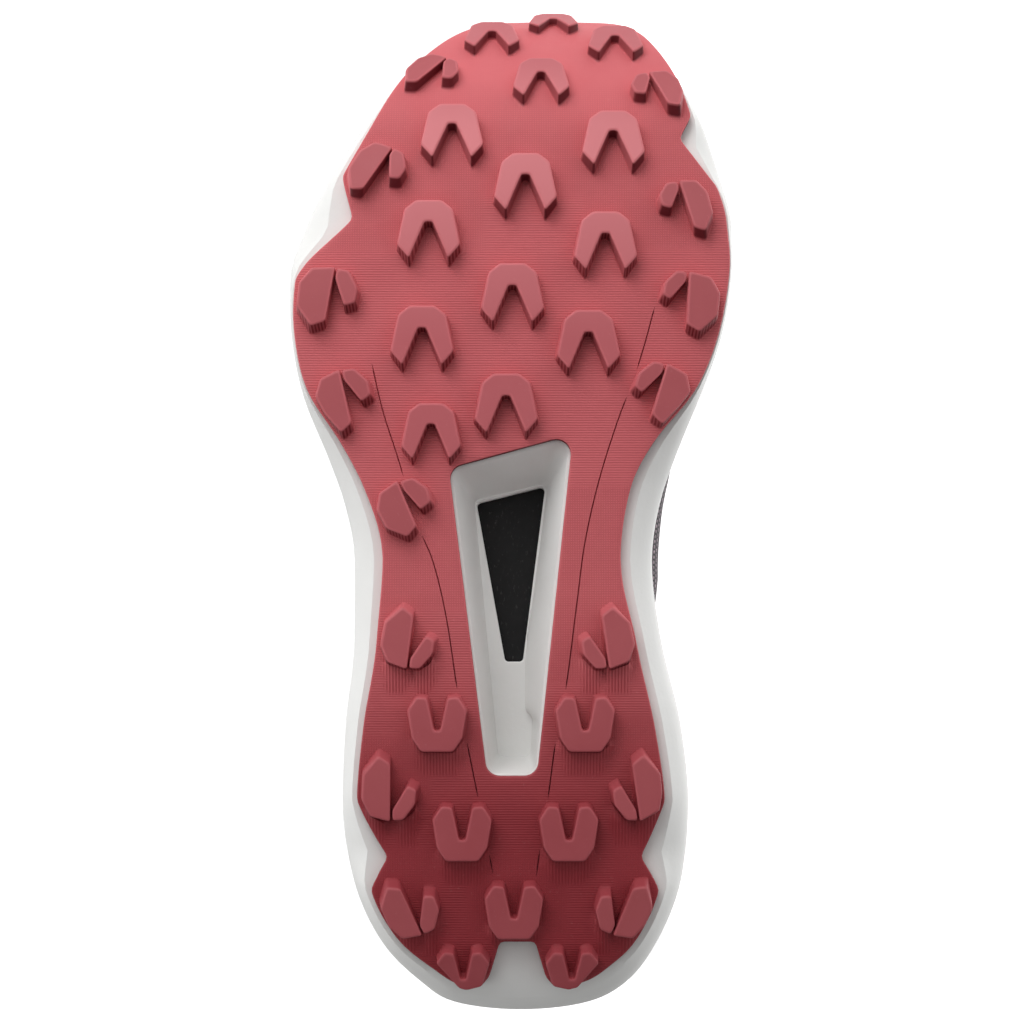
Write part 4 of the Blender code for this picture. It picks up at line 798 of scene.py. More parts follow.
def upper_material():
    """Knitted mesh: black base near the sole, mauve-grey heather above, darker in the mesh's holes."""
    paint = Paint("upper_mesh", roughness=0.85, sheen=0.25)
    mesh = knit(paint, 1.5, 1.2)
    heather = paint.noise(0.9, 4.0, 0.75, (1.0, 0.5, 1.0))
    yarn = paint.mix(paint.ramp(heather, 0.38, 0.62), *YARN)
    fold = paint.noise(9.0, 2.0)
    edge = paint.plus(paint.value("row"), paint.ramp(fold, 0.3, 0.7, -0.08, 0.08))
    edge = paint.plus(edge, paint.ramp(paint.y, 132.0, 139.0, 1.5, 0.0))
    colour = paint.mix(paint.ramp(mesh, 0.05, 0.45), YARN_HOLE, yarn)
    tint = paint.mix(paint.ramp(edge, 1.75, 1.95), KNIT_BLACK, KNIT_BORDER)
    colour = paint.mix(paint.ramp(edge, 2.05, 2.35), tint, colour)
    height = paint.times(mesh, paint.ramp(edge, 2.0, 2.4))
    normal = paint.bump(height, 0.28)
    normal = paint.bump(heather, 0.05, normal)
    return paint.finish(colour, normal)


def lining_material():
    """Brushed lining knit."""
    paint = Paint("lining", roughness=0.95, sheen=0.4)
    mesh = knit(paint, 0.9, 0.8)
    cloud = paint.noise(6.0, 3.0)
    colour = paint.mix(cloud, *LINING)
    colour = paint.mix(paint.times(mesh, 0.5), colour, LINING_YARN)
    return paint.finish(colour, paint.bump(mesh, 0.18))


def film_material(name, tones, grain_size=0.8, roughness=0.5):
    """Thin moulded film over the mesh, with a leathery grain."""
    paint = Paint(name, roughness=roughness)
    grain = paint.noise(grain_size, 3.0)
    cloud = paint.noise(12.0, 3.0)
    colour = paint.mix(cloud, *tones)
    wear = paint.times(paint.value("rim"), paint.ramp(paint.noise(2.0, 4.0, 0.7), 0.45, 0.7))
    worn = tuple(min(1.0, 3 * level + 0.03) for level in tones[1])
    colour = paint.mix(paint.times(wear, 0.5), colour, worn)
    normal = paint.bump(grain, 0.05)
    return paint.finish(colour, normal, paint.ramp(cloud, 0.3, 0.7, roughness - 0.06, roughness + 0.1))


def webbing_material(name, tones, pitch=0.9):
    """Woven tape: slanted yarns that cross, read along and across the tape."""
    paint = Paint(name, roughness=0.85, sheen=0.3)
    around, up = paint.value("around"), paint.value("up")
    first = paint.wave(paint.plus(around, up), pitch, 1.3)
    second = paint.wave(paint.less(around, up), pitch, 1.3)
    weave = combined(paint.tree, "MAXIMUM", first, second)
    fuzz = paint.noise(0.4, 4.0, 0.7)
    colour = paint.mix(fuzz, *tones)
    holes = tuple(level * 0.25 for level in tones[0])
    colour = paint.mix(paint.times(paint.less(1.0, weave), 0.8), colour, holes)
    return paint.finish(colour, paint.bump(weave, 0.14))


def thread_material():
    paint = Paint("thread", roughness=0.8, sheen=0.3)
    twist = paint.noise(0.3, 2.0)
    return paint.finish(paint.mix(twist, *THREAD), paint.bump(twist, 0.03))


def floor_material():
    paint = Paint("floor_paper", roughness=0.75)
    cloud = paint.noise(90.0, 3.0)
    paint.shader.inputs["Emission Color"].default_value = (1, 1, 1, 1)
    paint.shader.inputs["Emission Strength"].default_value = FLOOR_GLOW
    return paint.finish(paint.mix(cloud, *FLOOR_PAPER), paint.bump(paint.noise(1.2, 2.0), 0.02))


def run_along(line):
    """How far along a line each of its points lies."""
    return np.concatenate([[0], np.cumsum(np.linalg.norm(np.diff(line, axis=0), axis=1))])


def way_round(corners):
    """1 where a closed flat outline runs anticlockwise, -1 where it runs clockwise."""
    area = (corners[:, 0] * np.roll(corners[:, 1], -1) - np.roll(corners[:, 0], -1) * corners[:, 1]).sum()
    return math.copysign(1, area)


def bell(value, middle, reach):
    """A soft swell: 1 in the middle, fading on both sides."""
    return np.exp(-((value - middle) / reach) ** 2)


def bent(corners, radius):
    """A closed line with each corner turned into a short curve, in two or three dimensions."""
    corners = np.asarray(corners, float)
    back, on = np.roll(corners, 1, axis=0) - corners, np.roll(corners, -1, axis=0) - corners
    points = []
    for corner, before, after in zip(corners, back, on):
        start = before * min(radius / max(np.linalg.norm(before), 1e-6), 0.42)
        end = after * min(radius / max(np.linalg.norm(after), 1e-6), 0.42)
        for t in np.linspace(0, 1, CORNER_STEPS + 1):
            points.append(corner + start * (1 - t) ** 2 + end * t ** 2)
    return np.array(points)


def drawn_in(corners, amount):
    """Corners of a closed flat outline moved inwards by amount, with short mitres."""
    corners = np.asarray(corners, float)
    run = np.roll(corners, -1, axis=0) - corners
    run /= np.maximum(np.linalg.norm(run, axis=1), 1e-9)[:, None]
    normal = np.column_stack([-run[:, 1], run[:, 0]]) * way_round(corners)
    before = np.roll(normal, 1, axis=0)
    mitre = (before + normal) / np.maximum(1 + (before * normal).sum(axis=1), 0.6)[:, None]
    return corners + mitre * amount


def softened(loop, step):
    """A closed outline divided evenly and smoothed a little."""
    closed = np.concatenate([loop, loop[:1]])
    run = run_along(closed)
    places = np.linspace(0, run[-1], round(run[-1] / step), endpoint=False)
    points = np.column_stack([np.interp(places, run, closed[:, k]) for k in range(2)])
    return (np.roll(points, 1, axis=0) + 2 * points + np.roll(points, -1, axis=0)) / 4


def even_grid(loop, holes, step, clear):
    """Points on an even grid inside an outline, clear of it and of its holes."""
    loop = np.asarray(loop, float)
    low, high = loop.min(axis=0), loop.max(axis=0)
    columns = np.arange(low[0] + step / 2, high[0], step)
    rows = np.arange(low[1] + step / 2, high[1], step * 0.87)
    grid = np.array([(x + (k % 2) * step / 2, y) for k, y in enumerate(rows) for x in columns])
    grid = grid[inside(grid, loop)]
    grid = grid[distance(grid, loop) > clear]
    for hole in holes:
        hole = np.asarray(hole, float)
        near = ((grid > hole.min(axis=0) - clear) & (grid < hole.max(axis=0) + clear)).all(axis=1)
        drop = np.zeros(len(grid), bool)
        if near.any():
            drop[near] = inside(grid[near], hole) | (distance(grid[near], hole) < clear)
        grid = grid[~drop]
    return grid


def divided(loop):
    """A rounded four-sided outline with its straight runs divided evenly."""
    loop = np.asarray(loop, float)
    points = []
    for k, point in enumerate(loop):
        points.append(point)
        if (k + 1) % (ARC_STEPS + 1) == 0:
            run = loop[(k + 1) % len(loop)] - point
            points += [point + run * part / EDGE_PARTS for part in range(1, EDGE_PARTS)]
    return np.array(points)


def away_from_toe(ring, way=1):
    """How far each side of a closed outline faces the heel, and a little the medial side, from 0 to 1: its
    painted shade.
    """
    plan = np.asarray(ring, float)[:, :2]
    ahead = np.roll(plan, -1, axis=0) - np.roll(plan, 1, axis=0)
    normal = np.column_stack([ahead[:, 1], -ahead[:, 0]]) * way_round(plan)
    normal *= way / np.maximum(np.linalg.norm(normal, axis=1), 1e-9)[:, None]
    return np.clip(TOWARDS[0] * normal[:, 0] + TOWARDS[1] * normal[:, 1], 0, 1)


def column(rows, columns, name):
    """The values of one column of a table."""
    place = columns.index(name)
    return np.array([row[place] for row in rows], float)


def cubic(t):
    """Weights of a curve's first point and slope and its second point and slope."""
    return (1 + 2 * t) * (1 - t) ** 2, t * (1 - t) ** 2, t * t * (3 - 2 * t), t * t * (t - 1)


def hermite(x, xs, ys):
    """Smooth curve through a table's points, level beyond its ends."""
    xs, ys = np.asarray(xs, float), np.asarray(ys, float)
    x = np.clip(np.asarray(x, float), xs[0], xs[-1])
    rise = np.diff(ys) / np.diff(xs)
    slopes = np.concatenate([[rise[0]], (rise[1:] + rise[:-1]) / 2, [rise[-1]]])
    turning = np.concatenate([[False], rise[1:] * rise[:-1] <= 0, [False]])
    slopes = np.where(turning, 0.0, slopes)
    k = np.clip(np.searchsorted(xs, x, side="right") - 1, 0, len(xs) - 2)
    step = xs[k + 1] - xs[k]
    a, b, c, d = cubic((x - xs[k]) / step)
    return a * ys[k] + b * step * slopes[k] + c * ys[k + 1] + d * step * slopes[k + 1]


def curve(table, y):
    """A two-column table of shares, read at y in millimetres from the heel."""
    xs, ys = zip(*table)
    return hermite(np.asarray(y, float) / SHOE_LENGTH, xs, ys)


def rubber_height(y):
    """Height of the rubber between its lugs."""
    toe = TOE_RISE * curve(TOE_CURL, y)
    heel = HEEL_RISE * curve(HEEL_CURL, y)
    arch = ARCH_RISE * curve(ARCH_CURVE, y)
    return LUG_HEIGHT + toe + heel + arch


def foam_height(y):
    """Height of the midsole's underside."""
    return rubber_height(y) + TREAD_THICKNESS + SOLE_GAP


def rim_height(y):
    return RIM_HEIGHT * curve(RIM_CURVE, y)


def footbed_height(y):
    return FOOTBED_HEIGHT * curve(FOOTBED_CURVE, y)


def turn_of(along):
    """A share of the length as an angle, so that heel and toe come out round."""
    return np.arccos(np.clip(1 - 2 * np.asarray(along, float), -1, 1))


def outline_value(name, turn):
    along = column(OUTLINE_ROWS, OUTLINE_COLUMNS, "along")
    return hermite(turn, turn_of(along), column(OUTLINE_ROWS, OUTLINE_COLUMNS, name))


def notch_depth(side, y):
    """How far the V-shaped notches cut into the rubber's edge on one side."""
    depth = np.zeros_like(np.asarray(y, float))
    for row in NOTCH_ROWS:
        notch = dict(zip(NOTCH_COLUMNS, row))
        if notch["side"] != side:
            continue
        away = np.asarray(y, float) / SHOE_LENGTH - notch["apex"]
        reach = np.where(away < 0, notch["behind"], notch["ahead"])
        depth += EDGE_BAND * notch["deep"] * np.clip(1 - np.abs(away) / reach, 0, 1)
    return depth


class Perimeter:
    """The sole's outline: lateral side from heel to toe, then medial side back, with outward normals."""

    def __init__(self, steps):
        turns = np.linspace(0, math.pi, steps + 1)
        y = SHOE_LENGTH * (1 - np.cos(turns)) / 2
        lateral = BALL_WIDTH * outline_value("lateral", turns)
        medial = -BALL_WIDTH * outline_value("medial", turns)
        back = slice(steps - 1, 0, -1)
        self.points = np.concatenate([
            np.column_stack([lateral, y]),
            np.column_stack([medial[back], y[back]]),
        ])
        self.side = np.concatenate([np.ones(steps + 1), -np.ones(steps - 1)])
        self.turn = np.concatenate([turns, turns[back]])
        band = np.concatenate([
            outline_value("lateral_band", turns),
            outline_value("medial_band", turns[back]),
        ])
        self.band = EDGE_BAND * band
        ahead = np.roll(self.points, -1, axis=0) - np.roll(self.points, 1, axis=0)
        normal = np.column_stack([ahead[:, 1], -ahead[:, 0]])
        self.normal = normal / np.linalg.norm(normal, axis=1)[:, None]
        self.count = len(self.points)

    def inset(self, amount):
        return self.points - self.normal * np.broadcast_to(amount, self.count)[:, None]

    def notches(self):
        return np.where(self.side > 0, notch_depth(1, self.points[:, 1]), notch_depth(-1, self.points[:, 1]))


def rounded(corners, radius):
    """A closed outline with each corner rounded by an arc."""
    points = []
    count = len(corners)
    for k in range(count):
        here = Vector(corners[k])
        before = (Vector(corners[k - 1]) - here).normalized()
        after = (Vector(corners[(k + 1) % count]) - here).normalized()
        half = before.angle(after) / 2
        centre = here + (before + after).normalized() * (radius / math.sin(half))
        first = here + before * (radius / math.tan(half)) - centre
        last = here + after * (radius / math.tan(half)) - centre
        sweep = first.angle_signed(last)
        for step in range(ARC_STEPS + 1):
            arm = first.copy()
            arm.rotate(Matrix.Rotation(-sweep * step / ARC_STEPS, 2))
            points.append(tuple(centre + arm))
    return points


def corners_of(table, grow=0.0):
    """A table's corners in millimetres, moved outwards by grow."""
    corners = [Vector((BALL_WIDTH * across, SHOE_LENGTH * along)) for across, along in table]
    centre = sum(corners, Vector((0, 0))) / len(corners)
    moved = []
    for corner in corners:
        away = corner - centre
        moved.append(corner + Vector((math.copysign(grow, away.x), math.copysign(grow, away.y))))
    return [tuple(corner) for corner in moved]


def opening(table, radius, grow=0.0):
    """Outline with these corners rounded, moved outwards by grow and divided evenly."""
    return divided(rounded(corners_of(table, grow), radius))


def inside(points, loop):
    """Which points lie inside a closed outline."""
    points, loop = np.atleast_2d(points), np.asarray(loop, float)
    start, end = loop, np.roll(loop, -1, axis=0)
    x, y = points[:, :1], points[:, 1:]
    crosses = (start[:, 1] > y) != (end[:, 1] > y)
    rise = np.where(end[:, 1] == start[:, 1], 1e-12, end[:, 1] - start[:, 1])
    at = start[:, 0] + (y - start[:, 1]) * (end[:, 0] - start[:, 0]) / rise
    return (crosses & (x < at)).sum(axis=1) % 2 == 1


def distance(points, loop):
    """Distance of each point from a closed outline."""
    points, loop = np.atleast_2d(points), np.asarray(loop, float)
    start, end = loop, np.roll(loop, -1, axis=0)
    run = end - start
    length = np.maximum((run ** 2).sum(axis=1), 1e-12)
    away = points[:, None, :] - start[None, :, :]
    share = np.clip((away * run).sum(axis=2) / length, 0, 1)
    nearest = start[None, :, :] + share[:, :, None] * run
    return np.linalg.norm(points[:, None, :] - nearest, axis=2).min(axis=1)


def triangles(loops, inner):
    """Triangles between the first outline and the others, indexed into all their points and then inner."""
    points, edges = [], []
    for loop in loops:
        first = len(points)
        points += [Vector((float(x), float(y))) for x, y in loop]
        edges += [(first + k, first + (k + 1) % len(loop)) for k in range(len(loop))]
    points += [Vector((float(x), float(y))) for x, y in inner]
    verts, _, faces, origins, _, _ = geometry.delaunay_2d_cdt(points, edges, [], 0, 1e-5)
    centres = np.array([sum((verts[k] for k in face), Vector((0, 0))) / 3 for face in faces])
    keep = inside(centres, loops[0])
    for loop in loops[1:]:
        keep &= ~inside(centres, loop)
    crossings = [f"({v.x:.1f}, {v.y:.1f})" for v, origin in zip(verts, origins) if not origin]
    if crossings:
        raise ValueError("outlines cross at " + " ".join(crossings))
    index = [origin[0] for origin in origins]
    return [[index[k] for k in face] for face, kept in zip(faces, keep) if kept]


def land_outline(perimeter):
    """The outsole's outline with its notches and the slot between its rear lobes."""
    edge = perimeter.inset(perimeter.band)
    toe = int(np.argmax(edge[:, 1]))
    heel = int(np.argmin(edge[:, 1]))
    lateral = edge[heel:toe + 1]
    medial = np.concatenate([edge[toe:], edge[:heel + 1]])[::-1]
    sides = {}
    for side, points in ((1, lateral), (-1, medial)):
        points = points[np.argsort(points[:, 1])]
        stations = list(points[:, 1])
        for row in NOTCH_ROWS:
            notch = dict(zip(NOTCH_COLUMNS, row))
            if notch["side"] != side:
                continue
            keys = [notch["apex"] - notch["behind"], notch["apex"], notch["apex"] + notch["ahead"]]
            keys = [SHOE_LENGTH * key for key in keys]
            stations = [y for y in stations if min(abs(y - key) for key in keys) > NOTCH_CLEAR] + keys
        stations = np.array(sorted(stations))
        across = np.interp(stations, points[:, 1], points[:, 0]) - side * notch_depth(side, stations)
        sides[side] = np.column_stack([across, stations])
    slot = [(BALL_WIDTH * half, SHOE_LENGTH * along) for half, along in SLOT_ROWS]
    clear = slot[-1][0] + NOTCH_CLEAR
    rear = slot[0][1]

    def behind_slot(points):
        return points[(np.abs(points[:, 0]) > clear) | (points[:, 1] > rear * 2)]

    lateral_side, medial_side = behind_slot(sides[1]), behind_slot(sides[-1])[::-1]
    ring = [*slot, *map(tuple, lateral_side), *map(tuple, medial_side[1:])]
    return np.array(ring + [(-x, y) for x, y in reversed(slot)])


class Tread:
    """The curved underside, on which lugs are set by their distance along the curve."""

    def __init__(self, land, window):
        self.land, self.window = land, window
        self.y = np.linspace(0, SHOE_LENGTH, 581)
        self.z = rubber_height(self.y)
        steps = np.hypot(np.diff(self.y), np.diff(self.z))
        self.run = np.concatenate([[0], np.cumsum(steps)])

    def run_at(self, y):
        return np.interp(y, self.y, self.run)

    def y_at(self, run):
        return np.interp(run, self.run, self.y)

    def slope_at(self, y):
        step = 3.0
        return math.atan2(float(rubber_height(y + step) - rubber_height(y - step)), 2 * step)

    def on_land(self, point, margin):
        point = np.array([point])
        if not inside(point, self.land)[0] or inside(point, self.window)[0]:
            return False
        return min(distance(point, self.land)[0], distance(point, self.window)[0]) >= margin

    def plan(self, centre, across, along):
        """The plan position of a point that lies across and along the surface from a lug's centre."""
        return (centre[0] + across, float(self.y_at(self.run_at(centre[1]) + along)))

    def held(self, centre, across, along, start, margin):
        """The point moved back towards start until it stands on the land."""
        for step in range(21):
            share = 1 - step / 20
            u = start[0] + (across - start[0]) * share
            v = start[1] + (along - start[1]) * share
            if self.on_land(self.plan(centre, u, v), margin):
                return u, v
        return start


def open_lug(tread, row):
    """One open lug, from its row of the table."""
    lug = dict(zip(LUG_COLUMNS, row))
    centre = (BALL_WIDTH * lug["across"], SHOE_LENGTH * lug["along"])
    half_width, half_length = LUG_WIDTH * lug["size"] / 2, LUG_LENGTH * lug["size"] / 2
    half = FORE_FACE if lug["opens"] < 0 else HEEL_FACE
    points = [*half, *[(-u, v, -du, dv) for u, v, du, dv in reversed(half)]]
    face = [(u * half_width, -lug["opens"] * v * half_length) for u, v, _, _ in points]
    spread = [(du, -lug["opens"] * dv) for _, _, du, dv in points]
    anchor = (0.0, -lug["opens"] * 0.62 * half_length)
    return lug_shape(tread, centre, face, spread, LUG_HEIGHT * lug["height"], anchor)


def split_lug(tread, row):
    """The outer and the inner block of a split lug."""
    lug = dict(zip(SPLIT_COLUMNS, row))
    centre = (lug["side"] * BALL_WIDTH * lug["across"], SHOE_LENGTH * lug["along"])
    blocks = []
    for name, outline, away in (("outer", OUTER_FACE, 1), ("inner", INNER_FACE, -1)):
        turn = math.radians(lug[name + "_turn"])
        length, width = LUG_LENGTH * lug[name + "_length"], LUG_WIDTH * lug[name + "_width"]
        side = lug["side"] * away

        def turned(along, off, apart):
            u = math.sin(turn) * along + math.cos(turn) * off + apart
            return side * u, lug["opens"] * (math.cos(turn) * along - math.sin(turn) * off)

        face = [turned(along * length, off * width, SLIT_WIDTH / 2) for along, off, _, _ in outline]
        spread = [turned(along, off, 0) for _, _, along, off in outline]
        if name == "inner":
            reach, slit = SLIT_CLOSED * length, math.radians(lug["outer_turn"])
            u = side * (SLIT_WIDTH / 2 - math.sin(slit) * reach)
            face.insert(1, (u, lug["opens"] * math.cos(slit) * reach))
            spread.insert(1, (0.0, 0.0))
        anchor = tuple(np.mean(face, axis=0))
        blocks.append(lug_shape(tread, centre, face, spread, LUG_HEIGHT * lug["height"], anchor))
    return blocks


class Upper:
    """The upper's outer surface: a column for each point of the sole's outline, rows from feather to top."""

    ROWS = 8

    def __init__(self, perimeter):
        self.perimeter = perimeter
        along = column(UPPER_ROWS, UPPER_COLUMNS, "along")
        stations = (1 - np.cos(perimeter.turn)) / 2

        def value(name):
            return hermite(turn_of(stations), turn_of(along), column(UPPER_ROWS, UPPER_COLUMNS, name))

        side = perimeter.side
        top = np.column_stack([
            side * BALL_WIDTH * value("top_across") + BALL_WIDTH * TOP_CENTRE,
            SHOE_LENGTH * value("top_along"),
            COLLAR_HEIGHT * value("top_height"),
        ])
        cup = RIM_LEAN + RIM_THICKNESS
        feather = perimeter.inset(cup + CUP_LEAN + GAP * 2.5)
        rim = perimeter.inset(cup + GAP * 2)
        full_in = BULGE * np.where(side > 0, value("lateral_in"), value("medial_in"))
        full = perimeter.inset(full_in)
        low = np.column_stack([feather, footbed_height(feather[:, 1]) + GAP])
        rim = np.column_stack([rim, rim_height(perimeter.points[:, 1]) + GAP])
        rim_top = rim_height(perimeter.points[:, 1])
        full = np.column_stack([full, rim_top + (COLLAR_HEIGHT - rim_top) * value("full_up")])
        chord = top - full
        level = np.column_stack([chord[:, 0], chord[:, 1], np.zeros(perimeter.count)])
        reach = np.maximum(np.linalg.norm(level, axis=1), 1e-6)
        length = np.linalg.norm(chord, axis=1)
        outward = np.column_stack([
            -level[:, 0] / reach * chord[:, 2],
            -level[:, 1] / reach * chord[:, 2],
            reach,
        ])
        outward /= length[:, None]
        dome = full + chord * 0.45 + outward * (DOME * value("dome"))[:, None]
        rows = [low, rim]
        knots = [rim, full, dome, top]
        for k, steps in ((0, 2), (1, 2), (2, 3)):
            for step in range(1, steps * FINE + 1):
                rows.append(self.blend(knots, k, step / (steps * FINE)))
        self.grid = np.stack(rows, axis=1)
        finer = 1 + np.arange(1, (self.ROWS - 1) * FINE + 1) / FINE
        self.row_numbers = np.concatenate([[0.0, 1.0], finer])
        self.pad = COLLAR_PAD * value("pad")
        self.normals = self.normals_of(self.grid)

    @staticmethod
    def blend(knots, k, t):
        """A point of the Catmull-Rom curve between knot k and the next."""
        first, last = knots[k], knots[k + 1]
        before = knots[k - 1] if k else first - (last - first) * 0.5
        after = knots[k + 2] if k + 2 < len(knots) else last + (last - first) * 0.4
        enter, leave = (last - before) / 2, (after - first) / 2
        a, b, c, d = cubic(t)
        return a * first + b * enter + c * last + d * leave

    @staticmethod
    def normals_of(grid):
        """Outward normals of the grid, round its columns and up its rows."""
        around = np.roll(grid, -1, axis=0) - np.roll(grid, 1, axis=0)
        up = np.empty_like(grid)
        up[:, 1:-1] = grid[:, 2:] - grid[:, :-2]
        up[:, 0], up[:, -1] = grid[:, 1] - grid[:, 0], grid[:, -1] - grid[:, -2]
        normal = np.cross(around, up)
        normal /= np.maximum(np.linalg.norm(normal, axis=2), 1e-9)[:, :, None]
        outward = grid - grid.mean(axis=(0, 1))
        if (normal * outward).sum() < 0:
            normal = -normal
        smooth = (np.roll(normal, 1, axis=0) + 2 * normal + np.roll(normal, -1, axis=0)) / 4
        return smooth / np.linalg.norm(smooth, axis=2)[:, :, None]

    def wall(self):
        """Wall at each point: thin below, padded towards the collar."""
        rows = self.row_numbers / self.ROWS
        share = np.clip((rows - 0.35) / 0.5, 0, 1) ** 2
        lip = 1 - 0.35 * np.clip((rows - 0.9) / 0.1, 0, 1)
        extra = np.maximum(self.pad - WALL, 0)
        return WALL + extra[:, None] * (share * lip)[None, :]

    def thickest(self, place):
        """The wall's greatest thickness in the column at this place."""
        most = self.wall().max(axis=1)
        return float(np.interp((place % 1.0) * self.perimeter.count, np.arange(len(most)), most))

    def at(self, place, row, lift):
        """The surface at a fractional column place (0 to 1 round) and row, lifted along its normal."""
        where = (place % 1.0) * self.perimeter.count
        k = int(math.floor(where)) % self.perimeter.count
        after = (k + 1) % self.perimeter.count
        share = where - math.floor(where)
        place_up = row if row <= 1 else 1 + (row - 1) * FINE
        j = min(int(math.floor(place_up)), len(self.row_numbers) - 2)
        up = place_up - j

        def mixed(values):
            low = values[k, j] * (1 - share) + values[after, j] * share
            high = values[k, j + 1] * (1 - share) + values[after, j + 1] * share
            return low * (1 - up) + high * up

        normal = mixed(self.normals)
        return mixed(self.grid) + normal / np.linalg.norm(normal) * lift

    def place_of(self, side, along):
        """The column place of a share of the sole's length on one side."""
        share = float(turn_of(along)) / (2 * math.pi)
        return share if side > 0 else 1 - share


def places_between(start, end):
    """The upper's own columns from start to end, with the two ends."""
    count = 2 * SIDE_STEPS
    first, last = math.ceil(start * count + 0.2), math.floor(end * count - 0.2)
    return [start] + [k / count for k in range(first, last + 1)] + [end]


def arch(place, start, end):
    """1 in the middle of a span of columns, 0 at both ends, rounded."""
    share = (place - start) / (end - start)
    return math.sqrt(max(0.0, 1 - (2 * share - 1) ** 2))


def throat_line(along, under, clear):
    """The tongue's section at one station: under the upper's wall at both sides and arched between."""
    lateral, medial = UPPER.place_of(1, along), UPPER.place_of(-1, along)
    top = float(UPPER.ROWS)
    lift = -(max(UPPER.thickest(lateral), UPPER.thickest(medial)) + clear)
    left_low, left = upper_at(lateral, top - under, lift), upper_at(lateral, top, lift)
    right_low, right = upper_at(medial, top - under, lift), upper_at(medial, top, lift)
    middle = (left + right) / 2 + np.array([0, 0, 0.16 * np.linalg.norm(left - right)])
    return [left_low, left, middle, right, right_low]


def smooth_line(knots, steps):
    """Points on a Catmull-Rom curve through the knots."""
    knots = [np.asarray(knot, float) for knot in knots]
    line = []
    for k in range(len(knots) - 1):
        for step in range(steps):
            line.append(Upper.blend(knots, k, step / steps))
    return line + [knots[-1]]


def upper_at(place, row, lift):
    return UPPER.at(place, row, lift)


def lug_shape(tread, centre, face, spread, height, anchor):
    """Corners of one lug: its foot in plan, its face in its own plane, and where that plane lies."""
    face = [tread.held(centre, u, v, anchor, LUG_EDGE + 0.1) for u, v in face]
    foot = [(u + du * height, v + dv * height) for (u, v), (du, dv) in zip(face, spread)]
    foot = [tread.held(centre, u, v, start, LUG_EDGE) for (u, v), start in zip(foot, face)]
    return {
        "foot": np.array([tread.plan(centre, u, v) for u, v in foot]),
        "face": np.array(face),
        "centre": centre,
        "tilt": tread.slope_at(centre[1]),
        "height": height,
    }


def lug_point(lug, u, v, drop):
    """A point of the lug's plane, drop millimetres out from the rubber."""
    x, y = lug["centre"]
    sine, cosine = math.sin(lug["tilt"]), math.cos(lug["tilt"])
    return x + u, y + v * cosine + drop * sine, float(rubber_height(y)) + v * sine - drop * cosine


def add_lug(shape, lug, first):
    """Fillet, side, rounded edge and face of one lug, from its foot's points in the rubber."""
    foot = np.array([(x, y, z) for (x, y), z in zip(lug["foot"], lug["ground"])])
    face, height = lug["face"], lug["height"]
    full = np.array([lug_point(lug, u, v, height) for u, v in face])
    count = len(face) * (CORNER_STEPS + 1)
    ribbed = 1.0 if lug["centre"][1] < RIB_END * SHOE_LENGTH else 0.0
    away = bent(full, 0.9) - bent(foot, 1.0)
    # wall is the painted shade of each side of the lug.
    wall = away_from_toe(bent(full, 0.9))
    ribs = ribbed * (wall > RIB_FACING) * np.ones(count)
    last = first
    low = bent(foot, 1.0) + away * np.array(LUG_FILLET)
    side_share = 1 - LUG_ROUND / height
    side = bent(foot + (full - foot) * side_share, 0.85)
    for ring in (low, side):
        start = shape.add(ring, lug=0.35, relief=RIB_RELIEF * ribs, ribs=ribs, wall=wall)
        shape.ring(last, start, count)
        last = start
    # edge is how much painted highlight each rounded ring gets.
    for inset, short, edge in LUG_RIM:
        corners = drawn_in(face, inset)
        ring = bent([lug_point(lug, u, v, height - short) for u, v in corners], 0.75)
        start = shape.add(ring, lug=0.7, edge=edge, split=lug["split"])
        shape.ring(last, start, count)
        last = start
    flat = bent(drawn_in(face, LUG_FACE_IN), 0.7)
    start = shape.add([lug_point(lug, u, v, height) for u, v in flat], lug=1.0, split=lug["split"])
    shape.ring(last, start, count)
    shape.join([[start + k for k in tri] for tri in triangles([flat], [])])


def scored(line, land, window, feet):
    """The open stretches of a scored line, clear of lugs and edges, each as its two sides and middle."""
    line = np.array([(BALL_WIDTH * across, SHOE_LENGTH * along) for across, along in line])
    run = run_along(line)
    places = np.arange(0, run[-1], 1.0)
    middle = np.column_stack([hermite(places, run, line[:, k]) for k in range(2)])
    ahead = np.gradient(middle, axis=0)
    normal = np.column_stack([-ahead[:, 1], ahead[:, 0]]) / np.linalg.norm(ahead, axis=1)[:, None]
    free = inside(middle, land) & ~inside(middle, window)
    free &= (distance(middle, land) > GROOVE_CLEAR) & (distance(middle, window) > GROOVE_CLEAR)
    for foot in feet:
        free &= ~inside(middle, foot) & (distance(middle, foot) > GROOVE_CLEAR)
    stretches, start = [], None
    for k, open_here in enumerate([*free, False]):
        if open_here and start is None:
            start = k
        if not open_here and start is not None:
            if k - start > 4:
                stretches.append((middle[start:k], normal[start:k]))
            start = None
    return stretches


def gridded(points):
    """How far each point lies inside the soft-edged patches of square grid, from 0 to 1."""
    share = np.zeros(len(points))
    for row in GRID_ROWS:
        patch = dict(zip(GRID_COLUMNS, row))
        across = (points[:, 0] / BALL_WIDTH - patch["across"]) / patch["reach_across"]
        along = (points[:, 1] / SHOE_LENGTH - patch["along"]) / patch["reach_along"]
        share = np.maximum(share, np.clip((1.15 - np.maximum(np.abs(across), np.abs(along))) / 0.15, 0, 1))
    return share


def rear_ends(lugs):
    """Rear end, middle and width of each of the heel's lugs that has a ramp."""
    feet = [lug["foot"] for lug in lugs if lug["centre"][1] <= RAMP_END * SHOE_LENGTH]
    ends = []
    for foot in feet:
        left, right = foot[:, 0].min(), foot[:, 0].max()
        ends.append((foot[:, 1].min(), (right + left) / 2, right - left))
    return ends


